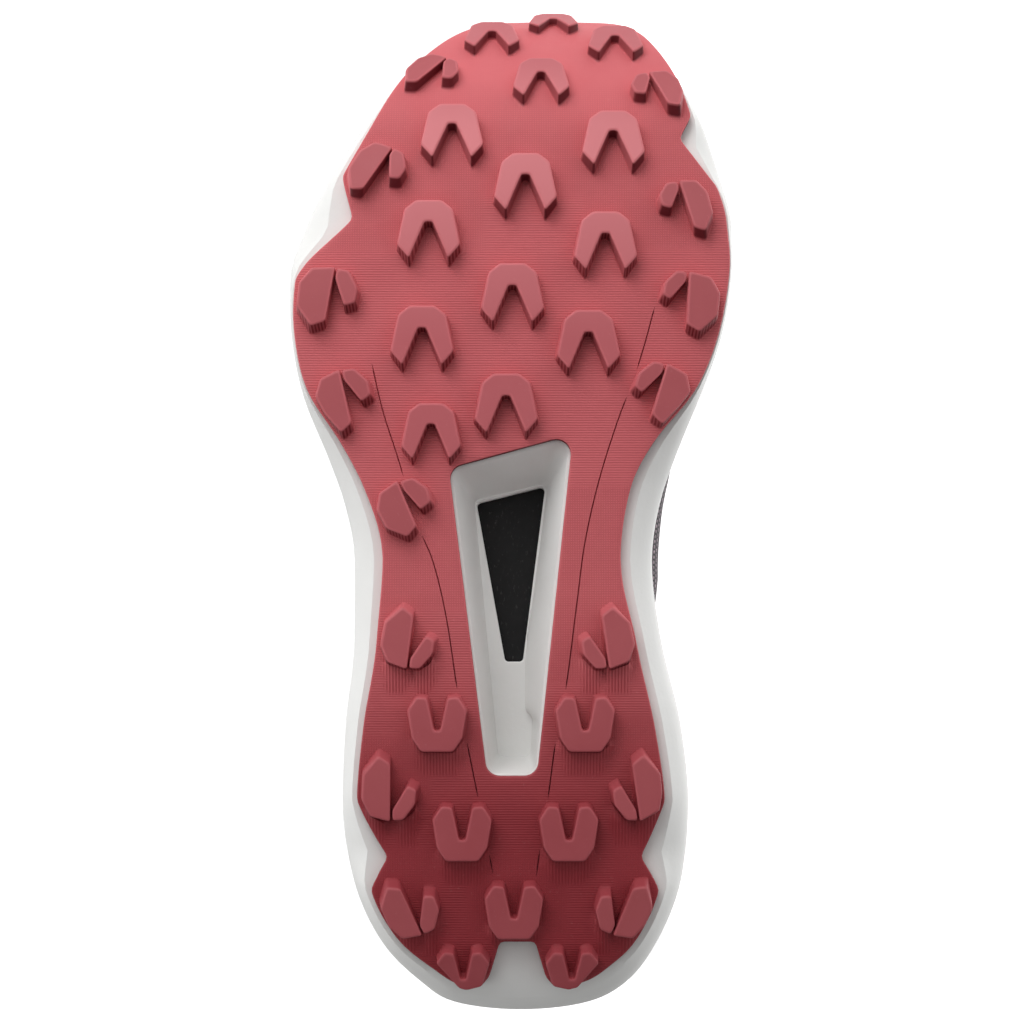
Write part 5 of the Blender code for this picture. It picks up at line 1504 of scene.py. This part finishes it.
def rib_patches(points, lugs):
    """1 on the rubber just behind the heel's lugs, where its ridges stand upright."""
    share = np.zeros(len(points))
    for rear, middle, width in rear_ends(lugs):
        below = rear + PATCH_UNDER - points[:, 1]
        narrow = width * PATCH_HALF * (1 - PATCH_TAPER * below)
        covered = (below > 0) & (below < PATCH_LENGTH) & (np.abs(points[:, 0] - middle) < narrow)
        share = np.maximum(share, covered * 1.0)
    return share


def ramps(points, lugs):
    """Height of the low ribbed ramps that back the heel's lugs, in millimetres out from the rubber."""
    rise = np.zeros(len(points))
    for rear, middle, width in rear_ends(lugs):
        behind = np.clip((rear + RAMP_UNDER - points[:, 1]) / RAMP_LENGTH, -1, 1)
        along = np.where(behind < 0, np.clip(1 + behind * RAMP_LENGTH / RAMP_START, 0, 1), 1 - behind)
        half = width * RAMP_HALF * (1 - RAMP_TAPER * np.clip(behind, 0, 1))
        side = np.clip((half - np.abs(points[:, 0] - middle)) / RAMP_SIDE, 0, 1)
        rise = np.maximum(rise, RAMP_HEIGHT * along * side)
    return rise


def build_outsole(perimeter):
    """Rubber sheet with rounded edges, window, notches, lobes, scored lines and lugs."""
    land = softened(land_outline(perimeter), LAND_STEP)
    window = opening(WINDOW_CORNERS, WINDOW_RADIUS)
    tread = Tread(land, window)
    lugs = [{**open_lug(tread, row), "split": 0.0} for row in LUG_ROWS]
    for row in SPLIT_ROWS:
        lugs += [{**lug, "split": 1.0} for lug in split_lug(tread, row)]
    feet = [bent(lug["foot"], 1.0) for lug in lugs]
    land_in, window_out = drawn_in(land, LAND_EDGE), drawn_in(window, -LAND_EDGE)
    grooves = []
    for line in (GROOVE_LATERAL, GROOVE_MEDIAL):
        grooves += scored(line, land, window, feet)
    cuts = []
    for middle, normal in grooves:
        taper = np.clip(np.minimum(np.arange(len(middle)), np.arange(len(middle))[::-1]) / 2, 0.3, 1)
        side = normal * (taper * GROOVE_WIDTH / 2)[:, None]
        cuts.append(np.concatenate([middle + side, (middle - side)[::-1]]))
    loops = [land_in, window_out, *feet, *cuts]
    inner = even_grid(land_in, loops[1:], BASE_GRID, 0.5)
    shape = Shape("lug", "edge", "ribs", "grid", "relief", "groove", "wall", "split")
    for loop in [*loops, inner]:
        plan = np.asarray(loop, float)
        fade = np.clip((RELIEF_START - plan[:, 1] / SHOE_LENGTH) / (RELIEF_START - RELIEF_END), 0, 1)
        upright = rib_patches(plan, lugs)
        clear = np.clip((np.minimum(distance(plan, land), distance(plan, window)) - 0.5) / 1.5, 0, 1)
        heights = rubber_height(plan[:, 1]) - ramps(plan, lugs) * clear
        shape.add(
            np.column_stack([plan, heights]),
            ribs=upright,
            grid=gridded(plan) * (1 - upright),
            relief=fade * (1 - RELIEF_LEAST) + RELIEF_LEAST,
        )
    shape.join(triangles(loops, inner))
    place = len(land_in) + len(window_out)
    for lug, foot in zip(lugs, feet):
        lug["ground"] = [shape.points[place + k * (CORNER_STEPS + 1) + 1][2] for k in range(len(lug["face"]))]
        add_lug(shape, lug, place)
        place += len(foot)
    for middle, normal in grooves:
        count = len(middle)
        sides = np.concatenate([middle + normal * 0.1, (middle - normal * 0.1)[::-1]])
        heights = rubber_height(sides[:, 1]) + GROOVE_DEPTH
        start = shape.add(np.column_stack([sides, heights]), groove=1.0)
        shape.ring(place, start, 2 * count)
        shape.join([
            (start + k, start + k + 1, start + 2 * count - 2 - k, start + 2 * count - 1 - k)
            for k in range(count - 1)
        ])
        place += 2 * count
    ends = []
    # Each edge ring: inset, rise, its painted highlight and its share of painted shade.
    edges = ((LAND_EDGE * 0.3, 0.12, 0.8, 0.0), (0.0, LAND_EDGE, 0.5, 1.0), (0.0, TREAD_THICKNESS, 0.0, 1.0))
    for loop, first, way in ((land, 0, 1), (window, len(land_in), -1)):
        starts = [first]
        for inset, rise, edge, shaded in edges:
            ring = drawn_in(loop, way * inset)
            heights = rubber_height(ring[:, 1]) + rise
            # Painted shade on the outline's and the window's sides where they face the heel.
            wall = away_from_toe(ring, way) * shaded
            starts.append(shape.add(np.column_stack([ring, heights]), edge=edge, wall=wall))
        shape.stack(starts, len(loop))
        ends.append(starts[-1])
    inner = even_grid(land, [window], UNDER_GRID * 2, 3.0)
    shape.cap([land, window], ends, inner, rubber_height(inner[:, 1]) + TREAD_THICKNESS)
    shape.piece("outsole_rubber", [rubber_material()], ["outsole"], 40.0)


def midsole_rings(perimeter):
    """Rings of the midsole's side from its underside over the rounded rim down to the footbed."""
    notch = perimeter.notches()
    low_in = np.maximum(1.0, 0.7 * perimeter.band) + 0.45 * notch
    base = foam_height(perimeter.inset(low_in)[:, 1])
    rim = rim_height(perimeter.points[:, 1])
    stands = rim - base
    flare = ((low_in, 0.0), (0.3 * low_in, 0.14), (0.0, 0.32), (RIM_LEAN * 0.35, 0.66), (RIM_LEAN, 1.0))
    coarse = [np.column_stack([perimeter.inset(inset), base + share * stands]) for inset, share in flare]
    rings = []
    for k in range(len(coarse) - 1):
        for step in range(FINE):
            rings.append(Upper.blend(coarse, k, step / FINE))
    rings[0] = coarse[0]
    for inset, drop in ((0.0, 0.9), (0.3, 0.25), (1.0, 0.0), (RIM_THICKNESS, 0.2)):
        rings.append(np.column_stack([perimeter.inset(RIM_LEAN + inset), rim - drop]))
    footbed = perimeter.inset(RIM_LEAN + RIM_THICKNESS + CUP_LEAN)
    rings.append(np.column_stack([footbed, footbed_height(footbed[:, 1])]))
    return rings


def recess_floor():
    """Outline of the recess's floor, beside the hole on the medial side as far as the small step."""
    floor = opening(FLOOR_CORNERS, FLOOR_RADIUS)
    hole = corners_of(HOLE_CORNERS)
    (front, ahead), (rear, behind) = hole[1], hole[2]
    beside = np.interp(floor[:, 1], [behind, ahead], [rear, front]) - FLOOR_MARGIN
    held = np.clip((floor[:, 1] - FLOOR_STEP * SHOE_LENGTH) / FLOOR_BEND, 0, 1) * (floor[:, 0] < 0)
    floor[:, 0] += held * np.maximum(beside - floor[:, 0], 0)
    return np.column_stack([floor, FLOOR_SHARE * footbed_height(floor[:, 1])])


def build_midsole(perimeter):
    """Foam with flared sides, a rounded rim and the recess that shows the board."""
    rings = midsole_rings(perimeter)
    shape = Shape("rim")
    starts = [shape.add(ring) for ring in rings]
    shape.stack(starts, perimeter.count)
    mouth = opening(WINDOW_CORNERS, WINDOW_RADIUS, -WINDOW_LIP)
    mouth = np.column_stack([mouth, foam_height(mouth[:, 1])])
    floor = recess_floor()
    walls = []
    for share, lip in (
        (0.0, 0.0), (0.004, 0.9), (0.03, 1.35), (0.1, 1.3), (0.3, 1.0), (0.6, 0.6), (0.9, 0.15), (1.0, 0.0),
    ):
        ring = mouth + (floor - mouth) * share
        ring[:, :2] = drawn_in(ring[:, :2], lip)
        walls.append(shape.add(ring))
    for grow, rise in ((HOLE_LIP, 0.0), (0.25, 0.25), (0.0, HOLE_LIP), (0.0, None)):
        hole = opening(HOLE_CORNERS, HOLE_RADIUS, grow)
        top = footbed_height(hole[:, 1])
        hole = np.column_stack([hole, top if rise is None else FLOOR_SHARE * top + rise])
        walls.append(shape.add(hole))
    shape.stack(walls, len(mouth))
    for end, loop, height in ((0, mouth, foam_height), (-1, hole, footbed_height)):
        loops = [rings[end][:, :2], loop[:, :2]]
        inner = even_grid(loops[0], loops[1:], UNDER_GRID, 2.5)
        shape.cap(loops, [starts[end], walls[end]], inner, height(inner[:, 1]))
    shape.piece("midsole_foam", [foam_material()], ["midsole"], 34.0)


def build_layer(name, node, material, perimeter, inset, low, thickness):
    """A layer lying in the footbed, with a rounded upper edge."""
    shape = Shape("around", "up")
    edge = ((0.0, 0.0), (0.0, 0.6), (0.12, 0.88), (0.3, 1.0))
    rings = [perimeter.inset(inset + draw * thickness) for draw, _ in edge]

    def height(points, rise):
        return footbed_height(points[:, 1]) + low + rise * thickness

    starts = []
    for ring, (_, rise) in zip(rings, edge):
        points = np.column_stack([ring, height(ring, rise)])
        starts.append(shape.add(points, around=ring[:, 0], up=ring[:, 1]))
    shape.stack(starts, perimeter.count)
    for end in (0, -1):
        inner = even_grid(rings[end], [], UNDER_GRID, 2.0)
        heights = height(inner, edge[end][1])
        shape.cap([rings[end]], [starts[end]], inner, heights, around=inner[:, 0], up=inner[:, 1])
    shape.piece(name, [material], [node], 40.0)


def arc_lengths(grid):
    """Millimetres round and up a grid of points, for a weave that keeps its scale."""
    around = np.linalg.norm(np.roll(grid, -1, axis=0) - grid, axis=2).mean(axis=1)
    around = np.concatenate([[0], np.cumsum(around)[:-1]])
    up = np.linalg.norm(np.diff(grid, axis=1), axis=2).mean(axis=0)
    up = np.concatenate([[0], np.cumsum(up)])
    return np.broadcast_to(around[:, None], grid.shape[:2]), np.broadcast_to(up[None, :], grid.shape[:2])


def build_upper(upper):
    """The hollow upper: knitted outside, lined inside, with a soft rolled collar."""
    outer = upper.grid.copy()
    rows = upper.row_numbers
    collar = COLLAR_SWELL["height"] * bell(rows, COLLAR_SWELL["row"], COLLAR_SWELL["rows"])
    outer += upper.normals * (upper.pad / COLLAR_PAD)[:, None, None] * collar[None, :, None]
    along = upper.perimeter.points[:, 1] / SHOE_LENGTH
    medial = bell(along, WAIST_SWELL["along"], WAIST_SWELL["reach"]) * (upper.perimeter.side < 0)
    waist = WAIST_SWELL["height"] * bell(rows, WAIST_SWELL["row"], WAIST_SWELL["rows"])
    outer += upper.normals * medial[:, None, None] * waist[None, :, None]
    inner = upper.grid - upper.normals * upper.wall()[:, :, None]
    inner[:, 0, 2] = outer[:, 0, 2]
    top = (outer[:, -1] + inner[:, -1]) / 2
    roll = top + (upper.grid[:, -1] - upper.grid[:, -2]) * COLLAR_ROLL
    around, up = arc_lengths(upper.grid)
    shape = Shape("around", "up", "row")
    count, levels = outer.shape[0], outer.shape[1]
    numbers = np.broadcast_to(rows[None, :], (count, levels))
    values = {"around": around.ravel(), "up": up.ravel(), "row": numbers.ravel()}
    shape.add(outer, **values)
    half = shape.add(inner, **values)
    lip = shape.add(roll, around=around[:, -1], up=up[:, -1], row=rows[-1])
    for k in range(count):
        after = (k + 1) % count
        a, b = k * levels, after * levels
        shape.join([(a + j, b + j, b + j + 1, a + j + 1) for j in range(levels - 1)])
        c, d = half + a, half + b
        shape.join([(c + j, c + j + 1, d + j + 1, d + j) for j in range(levels - 1)], 1)
        shape.join([(a, c, d, b)], 1)
        shape.join([(a + levels - 1, b + levels - 1, lip + after, lip + k)])
        shape.join([(lip + k, lip + after, d + levels - 1, c + levels - 1)], 1)
    shape.piece("upper_knit", [upper_material(), lining_material()], ["upper"], 60.0)


def add_overlay(name, node, columns, material):
    """An overlay on the upper with thin rolled edges: columns is a list of rows of (place, row) samples."""
    lines, rows = len(columns), len(columns[0])
    shape = Shape("around", "up", "rim")
    outer = np.zeros((lines, rows, 3))
    inner = np.zeros((lines, rows, 3))
    rim = np.zeros((lines, rows))
    for k, line in enumerate(columns):
        for j, (place, row) in enumerate(line):
            border = min(k, j, lines - 1 - k, rows - 1 - j)
            tall = OVERLAY_THICKNESS * OVERLAY_EDGE[min(border, 2)]
            outer[k, j] = upper_at(place, row, SHOWN_GAP + tall)
            inner[k, j] = upper_at(place, row, SHOWN_GAP)
            rim[k, j] = 1.0 if border < 2 else 0.0
    around, up = arc_lengths(outer)
    values = {"around": around.ravel(), "up": up.ravel(), "rim": rim.ravel()}
    shape.add(outer, **values)
    shape.sheet(shape.add(inner, **values), lines, rows)
    shape.piece(name, [material], [node], 50.0)


def spread_rows(low, high, count):
    """Rows from low to high with two close to each edge."""
    span = high - low
    near = min(0.12, span * 0.1)
    return [low, low + near, *np.linspace(low + 2.5 * near, high - 2.5 * near, count), high - near, high]


def band_high(spec, place):
    """The row of a band's upper edge at a place."""
    return spec["ends"] + (spec["middle"] - spec["ends"]) * arch(place, spec["start"], spec["end"])


def build_band(name, spec, material):
    """The toe cap or the heel counter."""
    places = places_between(spec["start"], spec["end"])
    near = (places[0] + BAND_EDGE, places[-1] - BAND_EDGE)
    places = sorted([*places, *near])
    columns = []
    for place in places:
        rows = spread_rows(spec["low"], band_high(spec, place), BAND_ROWS)
        columns.append([(place, row) for row in rows])
    add_overlay(name + "_film", name, columns, material)


def eyestay_low(place):
    """The row of the eyestay's lower edge at a place."""
    dip = arch(place, EYESTAY["start"], EYESTAY["end"])
    return EYESTAY["ends"] + (EYESTAY["middle"] - EYESTAY["ends"]) * dip ** 3


def build_eyestay(material):
    """The band round the throat."""
    places = places_between(EYESTAY["start"], EYESTAY["end"])
    columns = []
    for place in places:
        rows = spread_rows(eyestay_low(place), EYESTAY["high"], EYESTAY_ROWS)
        columns.append([(place, row) for row in rows])
    add_overlay("eyestay_film", "eyestay", columns, material)


def frame_at(place, row, lift):
    """A point on the upper with its outward, forward and upward directions."""
    here = upper_at(place, row, lift)
    out = upper_at(place, row, lift + 1) - here
    on = upper_at(place + 0.002, row, lift) - upper_at(place - 0.002, row, lift)
    on -= out * (on @ out)
    on /= np.linalg.norm(on)
    return here, out, on, np.cross(out, on)


def add_stitch(shape, centre, out, on):
    """One short stitch: a low rounded bar that lies on the surface."""
    side = np.cross(out, on)
    length, count = STITCH_SPACING * STITCH_FILL, len(STITCH_SECTION)
    rings = []
    for along, swell in STITCH_RINGS:
        width, height = STITCH_WIDTH * swell, STITCH_HEIGHT * swell
        middle = centre + on * along * length
        rings.append(shape.add([middle + side * a * width + out * b * height for a, b in STITCH_SECTION]))
    shape.stack(rings, count)
    shape.join([[rings[0] + k for k in range(count)], [rings[-1] + k for k in range(count)]])


def stitch_line(shape, places, row_of, lift):
    """Stitches at an even spacing along a line on the upper."""
    line = np.array([upper_at(place, row_of(place), lift) for place in places])
    run = run_along(line)
    for mark in np.arange(STITCH_SPACING / 2, run[-1], STITCH_SPACING):
        place = float(np.interp(mark, run, places))
        near = float(np.interp(mark + 0.4, run, places))
        centre, out, _, _ = frame_at(place, row_of(place), lift)
        on = upper_at(near, row_of(near), lift) - centre
        on /= max(np.linalg.norm(on), 1e-6)
        add_stitch(shape, centre, out, on)


def build_stitches(thread):
    """Seams along the overlays and below the padded collar."""
    shape = Shape("rim")
    film = SHOWN_GAP + OVERLAY_THICKNESS
    whole = np.linspace(EYESTAY["start"] + 0.004, EYESTAY["end"] - 0.004, 500)
    stitch_line(shape, whole, lambda place: eyestay_low(place) + 0.22, film)
    for spec in (TOE_CAP, HEEL_COUNTER):
        places = np.linspace(spec["start"] + 0.006, spec["end"] - 0.006, 300)
        stitch_line(shape, places, lambda place: band_high(spec, place) - 0.2, film)
    collar = np.linspace(EYESTAY["end"] - 1.0 + 0.004, EYESTAY["start"] - 0.004, 400)
    stitch_line(shape, collar, lambda place: COLLAR_SEAM_ROW, 0.1)
    shape.piece("stitches", [thread])


def build_eyelets(material):
    """A rolled ring round each eyelet."""
    shape = Shape("rim")
    turns = np.linspace(0, 2 * math.pi, 20, endpoint=False)
    around = np.linspace(0, 2 * math.pi, 8, endpoint=False)
    lift = SHOWN_GAP + OVERLAY_THICKNESS
    for along in EYELET_STATIONS:
        for side in (1, -1):
            centre, out, on, up = frame_at(UPPER.place_of(side, along), EYELET_ROW, lift)
            starts = []
            for turn in turns:
                arm = on * math.cos(turn) + up * math.sin(turn)
                ring = []
                for roll in around:
                    reach = EYELET_RADIUS + EYELET_ROLL * math.cos(roll)
                    ring.append(centre + arm * reach + out * EYELET_ROLL * math.sin(roll))
                starts.append(shape.add(ring, rim=0.5))
            shape.stack([*starts, starts[0]], len(around))
    shape.piece("eyelets", [material])


def throat_sections():
    """The tongue's sections from under the vamp up past the top eyelets."""
    stations = np.linspace(*TONGUE_STATIONS, TONGUE_SECTIONS)
    unders = np.linspace(*TONGUE_UNDER, TONGUE_SECTIONS)
    sections = [throat_line(along, under, GAP + 1.0) for along, under in zip(stations, unders)]
    apart = (TONGUE_SECTIONS - 1) // TONGUE_SPREAD
    first, after = np.array(sections[0]), np.array(sections[apart])
    for step in TONGUE_FRONT_STEPS:
        sections.insert(0, list(first + (first - after) * step - np.array([0, 0, TONGUE_DROP * step])))
    last, before = np.array(sections[-1]), np.array(sections[-1 - apart])
    for step in TONGUE_BACK_STEPS:
        rise = np.array([0, 0, TONGUE_REACH * TONGUE_LIFT * step])
        risen = last + (last - before) * step * TONGUE_ONWARD + rise
        centre = risen[2]
        sections.append(list(centre + (risen - centre) * (1 - TONGUE_NARROWS * step)))
    return sections


def grid_runs(grid, axis):
    """How far along its line each point of a grid lies."""
    steps = np.linalg.norm(np.diff(grid, axis=axis), axis=2)
    start = np.zeros_like(np.take(steps, [0], axis=axis))
    return np.cumsum(np.concatenate([start, steps], axis=axis), axis=axis)


def build_tongue(material):
    """The padded tongue, crowned across, thinning to its edges, with a rounded top."""
    grid = np.array([smooth_line(section, 5) for section in throat_sections()])
    around, along = np.gradient(grid, axis=1), np.gradient(grid, axis=0)
    normal = np.cross(around, along)
    normal /= np.linalg.norm(normal, axis=2)[:, :, None]
    if normal[:, :, 2].mean() < 0:
        normal = -normal
    lines, rows = grid.shape[:2]
    side = np.minimum(np.arange(rows), np.arange(rows)[::-1]) / (rows - 1)
    end = np.minimum(np.arange(lines), np.arange(lines)[::-1]) / 3
    full = np.sqrt(np.clip(side / 0.16, 0.02, 1))[None, :] * np.sqrt(np.clip(end, 0.04, 1))[:, None]
    depth = TONGUE_THICKNESS * full
    middle = grid - normal * (TONGUE_THICKNESS / 2)
    swell = normal * (depth / 2)[:, :, None]
    shape = Shape("around", "up")
    values = {"around": grid_runs(grid, 1).ravel(), "up": grid_runs(grid, 0).ravel()}
    shape.add(middle + swell, **values)
    shape.sheet(shape.add(middle - swell, **values), lines, rows)
    obj = shape.piece("tongue_pad", [material], ["tongue"], 60.0)


def lace_route(first, second, over_it):
    """A crossing that comes up through one eyelet, lies over both edges and goes down the other."""
    lift = SHOWN_GAP + OVERLAY_THICKNESS + LACE_THICKNESS / 2
    top = float(UPPER.ROWS)
    path, ups, widths = [], [], []
    past = np.array(LACE_ENDS)
    shares = np.concatenate([-past[::-1], np.linspace(0, 1, LACE_POINTS), 1 + past])
    for share in shares:
        held = min(1.0, max(0.0, share))
        along = first[1] + (second[1] - first[1]) * held
        under = -LACE_DIP * min(1.0, max(-share, share - 1, 0) / 0.07)
        rise = LACE_HUMP * math.sin(min(1.0, min(held, 1 - held) / 0.10) * math.pi / 2)
        ends, normals = [], []
        for (side, _), near in ((first, held), (second, 1 - held)):
            row = EYELET_ROW + (top - EYELET_ROW) * min(1.0, near / LACE_EDGE)
            place = UPPER.place_of(side, along)
            ends.append(upper_at(place, row, lift + rise + under))
            normals.append(upper_at(place, row, lift + 1) - upper_at(place, row, lift))
        over = min(1.0, max(0.0, (held - LACE_EDGE) / (1 - 2 * LACE_EDGE)))
        bow = LACE_RISE * math.sin(math.pi * over) + over_it * bell(held, 0.5, 0.11)
        path.append(ends[0] * (1 - over) + ends[1] * over + np.array([0, 0, bow]))
        up = normals[0] * (1 - over) + normals[1] * over
        ups.append(up / np.linalg.norm(up))
        widths.append(1 - 0.45 * min(1.0, max(0.0, 0.05 - min(share, 1 - share)) / 0.12))
    return np.array(path), ups, widths


def build_laces(material):
    """The flat lace: its bar and crossings, each run through its eyelets."""
    pieces = [((1, EYELET_STATIONS[0]), (-1, EYELET_STATIONS[0]), 0.0)]
    for low, high in zip(EYELET_STATIONS, EYELET_STATIONS[1:]):
        pieces.append(((1, low), (-1, high), 0.0))
        pieces.append(((-1, low), (1, high), LACE_THICKNESS * 0.9))
    shape = Shape("around", "up")
    sides = len(LACE_PROFILE)
    for first, second, over_it in pieces:
        path, ups, widths = lace_route(first, second, over_it)
        forward = np.gradient(path, axis=0)
        forward /= np.linalg.norm(forward, axis=1)[:, None]
        starts = []
        for centre, ahead, up, wide, mark in zip(path, forward, ups, widths, run_along(path)):
            across = np.cross(ahead, up)
            across /= np.linalg.norm(across)
            lifted = np.cross(across, ahead)
            profile = np.array(LACE_PROFILE) * (LACE_WIDTH, LACE_THICKNESS)
            ring = [centre + across * (a * wide) + lifted * b for a, b in profile]
            starts.append(shape.add(ring, around=profile[:, 0], up=mark))
        shape.stack(starts, sides)
        shape.join([[starts[0] + k for k in range(sides)], [starts[-1] + k for k in range(sides)]])
    shape.piece("lace_tape", [material], ["laces"], 50.0)


def area_light(name, place, target, energy, size):
    """A soft light at a place in the row frame, turned towards a target."""
    data = bpy.data.lights.new(name, "AREA")
    data.energy = energy
    data.size = size
    light = bpy.data.objects.new(name, data)
    bpy.context.scene.collection.objects.link(light)
    light.location = place
    light.rotation_euler = (Vector(place) - Vector(target)).to_track_quat("Z", "Y").to_euler()


def build_studio():
    """Pale floor, white surroundings that show white and light dimly, and soft lights."""
    bpy.ops.mesh.primitive_plane_add(size=FLOOR_SIZE)
    floor = bpy.context.object
    floor.name = "floor"
    floor.data.materials.append(floor_material())
    floor.visible_diffuse = False
    floor.visible_glossy = False
    world = bpy.data.worlds.new("studio")
    bpy.context.scene.world = world
    world.use_nodes = True
    tree = world.node_tree
    ground = tree.nodes["Background"]
    ground.inputs["Color"].default_value = (1, 1, 1, 1)
    split = tree.nodes.new("ShaderNodeSeparateXYZ")
    feed(tree, split.inputs[0], tree.nodes.new("ShaderNodeTexCoord").outputs["Generated"])
    x, y, z = split.outputs
    light = combined(
        tree,
        "MULTIPLY",
        graded(tree, y, *BEHIND_ENDS, AMBIENT, BEHIND),
        graded(tree, x, *HEEL_SIDE_ENDS, HEEL_SIDE, 1.0),
    )
    light = combined(tree, "MULTIPLY", light, graded(tree, z, *FLOOR_SIDE_ENDS, FLOOR_SIDE, 1.0))
    seen = tree.nodes.new("ShaderNodeLightPath").outputs["Is Camera Ray"]
    feed(tree, ground.inputs["Strength"], graded(tree, seen, 0.0, 1.0, light, BACKDROP))
    for light in LIGHTS:
        area_light(*light)


make_camera()
PERIMETER = Perimeter(SIDE_STEPS)
UPPER = Upper(PERIMETER)
inner_wall = RIM_LEAN + RIM_THICKNESS + CUP_LEAN + GAP * 2.5 + WALL
build_outsole(PERIMETER)
build_midsole(PERIMETER)
inside_edge = Perimeter(LAYER_STEPS)
board_in, sock_in, sock_low = inner_wall + GAP * 2, inner_wall + GAP * 3, GAP * 2 + BOARD_THICKNESS
build_layer("strobel_board", "lasting_board", board_material(), inside_edge, board_in, GAP, BOARD_THICKNESS)
build_layer("sockliner", "insole", lining_material(), inside_edge, sock_in, sock_low, INSOLE_THICKNESS)
build_upper(UPPER)
black_film = film_material("black_film", BLACK_FILM)
build_band("toe_cap", TOE_CAP, black_film)
build_band("heel_counter", HEEL_COUNTER, black_film)
build_eyestay(film_material("eyestay_film", EYESTAY_FILM, 0.6, 0.6))
build_eyelets(film_material("eyelet_ring", EYELET_FILM, 0.5, 0.35))
build_stitches(thread_material())
build_tongue(lining_material())
build_laces(webbing_material("lace_weave", WEBBING))
build_studio()
bpy.context.scene.view_settings.view_transform = "Standard"
